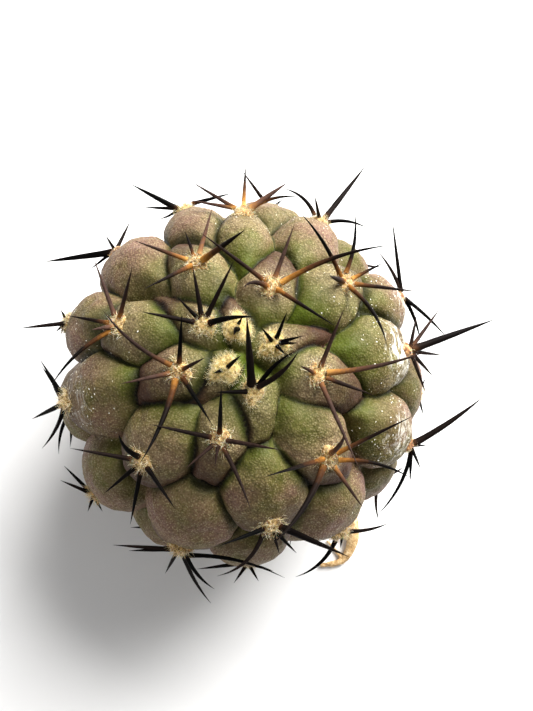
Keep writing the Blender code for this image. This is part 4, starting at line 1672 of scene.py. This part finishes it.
@dataclass
class Scurf:
    """Loose chips and grit of dead skin on the old tubercles."""

    per_square_mm: float = 1.6
    smallest: float = 0.05 * MM
    largest: float = 0.19 * MM
    limits: tuple = (0.12, 0.9)
    flatness: tuple = (1.0, 0.5, 0.28)
    turns: tuple = ((-0.35, -0.35, 0.0), (0.35, 0.35, WHOLE_TURN))
    seed: int = 5

    def chips(self, tree: Tree, given: dict) -> Socket:
        """Flat chips scattered where the skin is marked for scurf.

        Args:
            tree: The geometry tree.
            given: Its named inputs.

        Returns:
            The chips.
        """
        scurf = add_node(tree, "GeometryNodeInputNamedAttribute", {"Name": "scurf"})
        density = shown(tree, scurf, self.limits, given["Chips per area"])
        chip = add_node(tree, "GeometryNodeMeshIcoSphere", {"Radius": 1.0, "Subdivisions": 1})
        chip = add_node(tree, "GeometryNodeTransform", {"Geometry": chip, "Scale": self.flatness})
        sizes = (given["Smallest"], given["Largest"])
        return scatter(tree, given, density, chip, self.turns, (0.0, 1.0), sizes)

    def build(self, stem: Thing, finish: Material) -> Thing:
        """Scatter the chips over the stem.

        Args:
            stem: The finished stem.
            finish: The chips' material.

        Returns:
            The chips' object.
        """
        return grow(plain_object("dry_scurf", stem.data.copy()), "dry_scurf", self.chips, {
            "Chips per area": self.per_square_mm / (MM * MM), "Smallest": self.smallest,
            "Largest": self.largest, "Seed": self.seed, "Finish": finish,
        })


@dataclass
class Studio:
    """White card, soft daylight from behind and above, and the camera at the photograph's viewing angle."""

    floor_half: float = 0.6
    focal_pixels: float = 816.1
    sensor_mm: float = 36.0
    near_limit: float = 0.01
    body_column: float = 241.0
    body_row: float = 380.0
    key_place: tuple = (0.20, 0.28, 0.31)
    key_size: float = 0.34
    key_power: float = 7.3
    fill_place: tuple = (-0.32, -0.22, 0.34)
    fill_size: float = 0.4
    fill_power: float = 0.6
    lit_height: float = 0.02
    sky_colour: str = "#f4f5f8"
    sky_span: tuple = (-0.8, 0.8)
    sky_near: float = 0.12
    sky_far: float = 0.42
    wall_seen: float = 0.82

    def camera(self, ring_height: float) -> None:
        """Place the camera so that the body falls where the photograph has it.

        Args:
            ring_height: Height of the body's widest ring, at which its middle is aimed.
        """
        right, up, back = [Vector(axis) for axis in VIEW.axes()]
        column = (self.body_column - IMAGE_WIDTH / 2.0) / self.focal_pixels
        row = (self.body_row - IMAGE_HEIGHT / 2.0) / self.focal_pixels
        aim = (column * right - row * up - back).normalized()
        place = Vector((0.0, 0.0, ring_height)) - aim * VIEW.distance
        data = bpy.data.cameras.new("view_from_above")
        data.sensor_width = self.sensor_mm
        data.lens = self.focal_pixels / IMAGE_HEIGHT * data.sensor_width
        data.clip_start = self.near_limit
        camera = plain_object("view_from_above", data)
        turn = Matrix((right, up, back)).transposed()
        camera.matrix_world = Matrix.Translation(place) @ turn.to_4x4()
        bpy.context.scene.camera = camera

    def light(self, name: str, place: tuple, size: float, power: float) -> None:
        """Hang one soft square light that faces the plant.

        Args:
            name: The light's name.
            place: Where it hangs.
            size: Its side in metres.
            power: Its power in watts.
        """
        data = bpy.data.lights.new(name, "AREA")
        data.shape = "SQUARE"
        data.size = size
        data.energy = power
        lamp = plain_object(name, data)
        lamp.location = place
        away = Vector(place) - Vector((0.0, 0.0, self.lit_height))
        lamp.rotation_euler = away.to_track_quat("Z", "Y").to_euler()

    def floor(self) -> None:
        """Lay the white card."""
        half = self.floor_half
        corners = [(-half, -half, 0.0), (half, -half, 0.0), (half, half, 0.0), (-half, half, 0.0)]
        mesh = mesh_of("white_card", corners, [(0, 1, 2, 3)])
        mesh.materials.append(FloorFinish().build())
        plain_object("white_card", mesh)

    def sky(self) -> None:
        """A pale room, brighter behind the plant, which the camera itself sees as one plain wall."""
        world = bpy.data.worlds.new("pale_room")
        bpy.context.scene.world = world
        world.use_nodes = True
        tree = world.node_tree
        heading = add_node(tree, PLACE, output="Generated")
        depth = add_node(tree, "ShaderNodeSeparateXYZ", (heading,), output="Y")
        strength = add_node(tree, RANGE, (depth, *self.sky_span, self.sky_near, self.sky_far))
        straight = add_node(tree, "ShaderNodeLightPath", output="Is Camera Ray")
        seen = add_node(tree, MIX, {0: straight, 2: strength, 3: self.wall_seen})
        feed(tree.nodes["Background"], {"Color": linear(self.sky_colour), "Strength": seen})

    def build(self, ring_height: float) -> None:
        """Set up the whole studio.

        Args:
            ring_height: Height of the body's widest ring.
        """
        self.camera(ring_height)
        self.floor()
        self.light("window_light", self.key_place, self.key_size, self.key_power)
        self.light("front_fill", self.fill_place, self.fill_size, self.fill_power)
        self.sky()
        bpy.context.scene.view_settings.view_transform = "Standard"


def main() -> None:
    """Build the studio and every piece of the plant."""
    logging.basicConfig(level=logging.INFO, format="%(message)s")
    shape = StemShape()
    Studio().build(shape.ring_height)
    areoles = sorted(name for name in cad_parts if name.startswith("areole_"))
    stem = Stem(shape).build(SkinFinish().build())
    declare(stem, ["stem"])
    declare(Scurf().build(stem, ScurfFinish().build()), [])
    declare(Spines(shape).build(SpineFinish().build()), areoles)
    cushions, wool = Felt(shape).build(FeltFinish().build())
    declare(cushions, areoles)
    declare(wool, [])
    declare(Root(shape).build(BarkFinish().build()), ["root"])


if __name__ == "__main__":
    main()
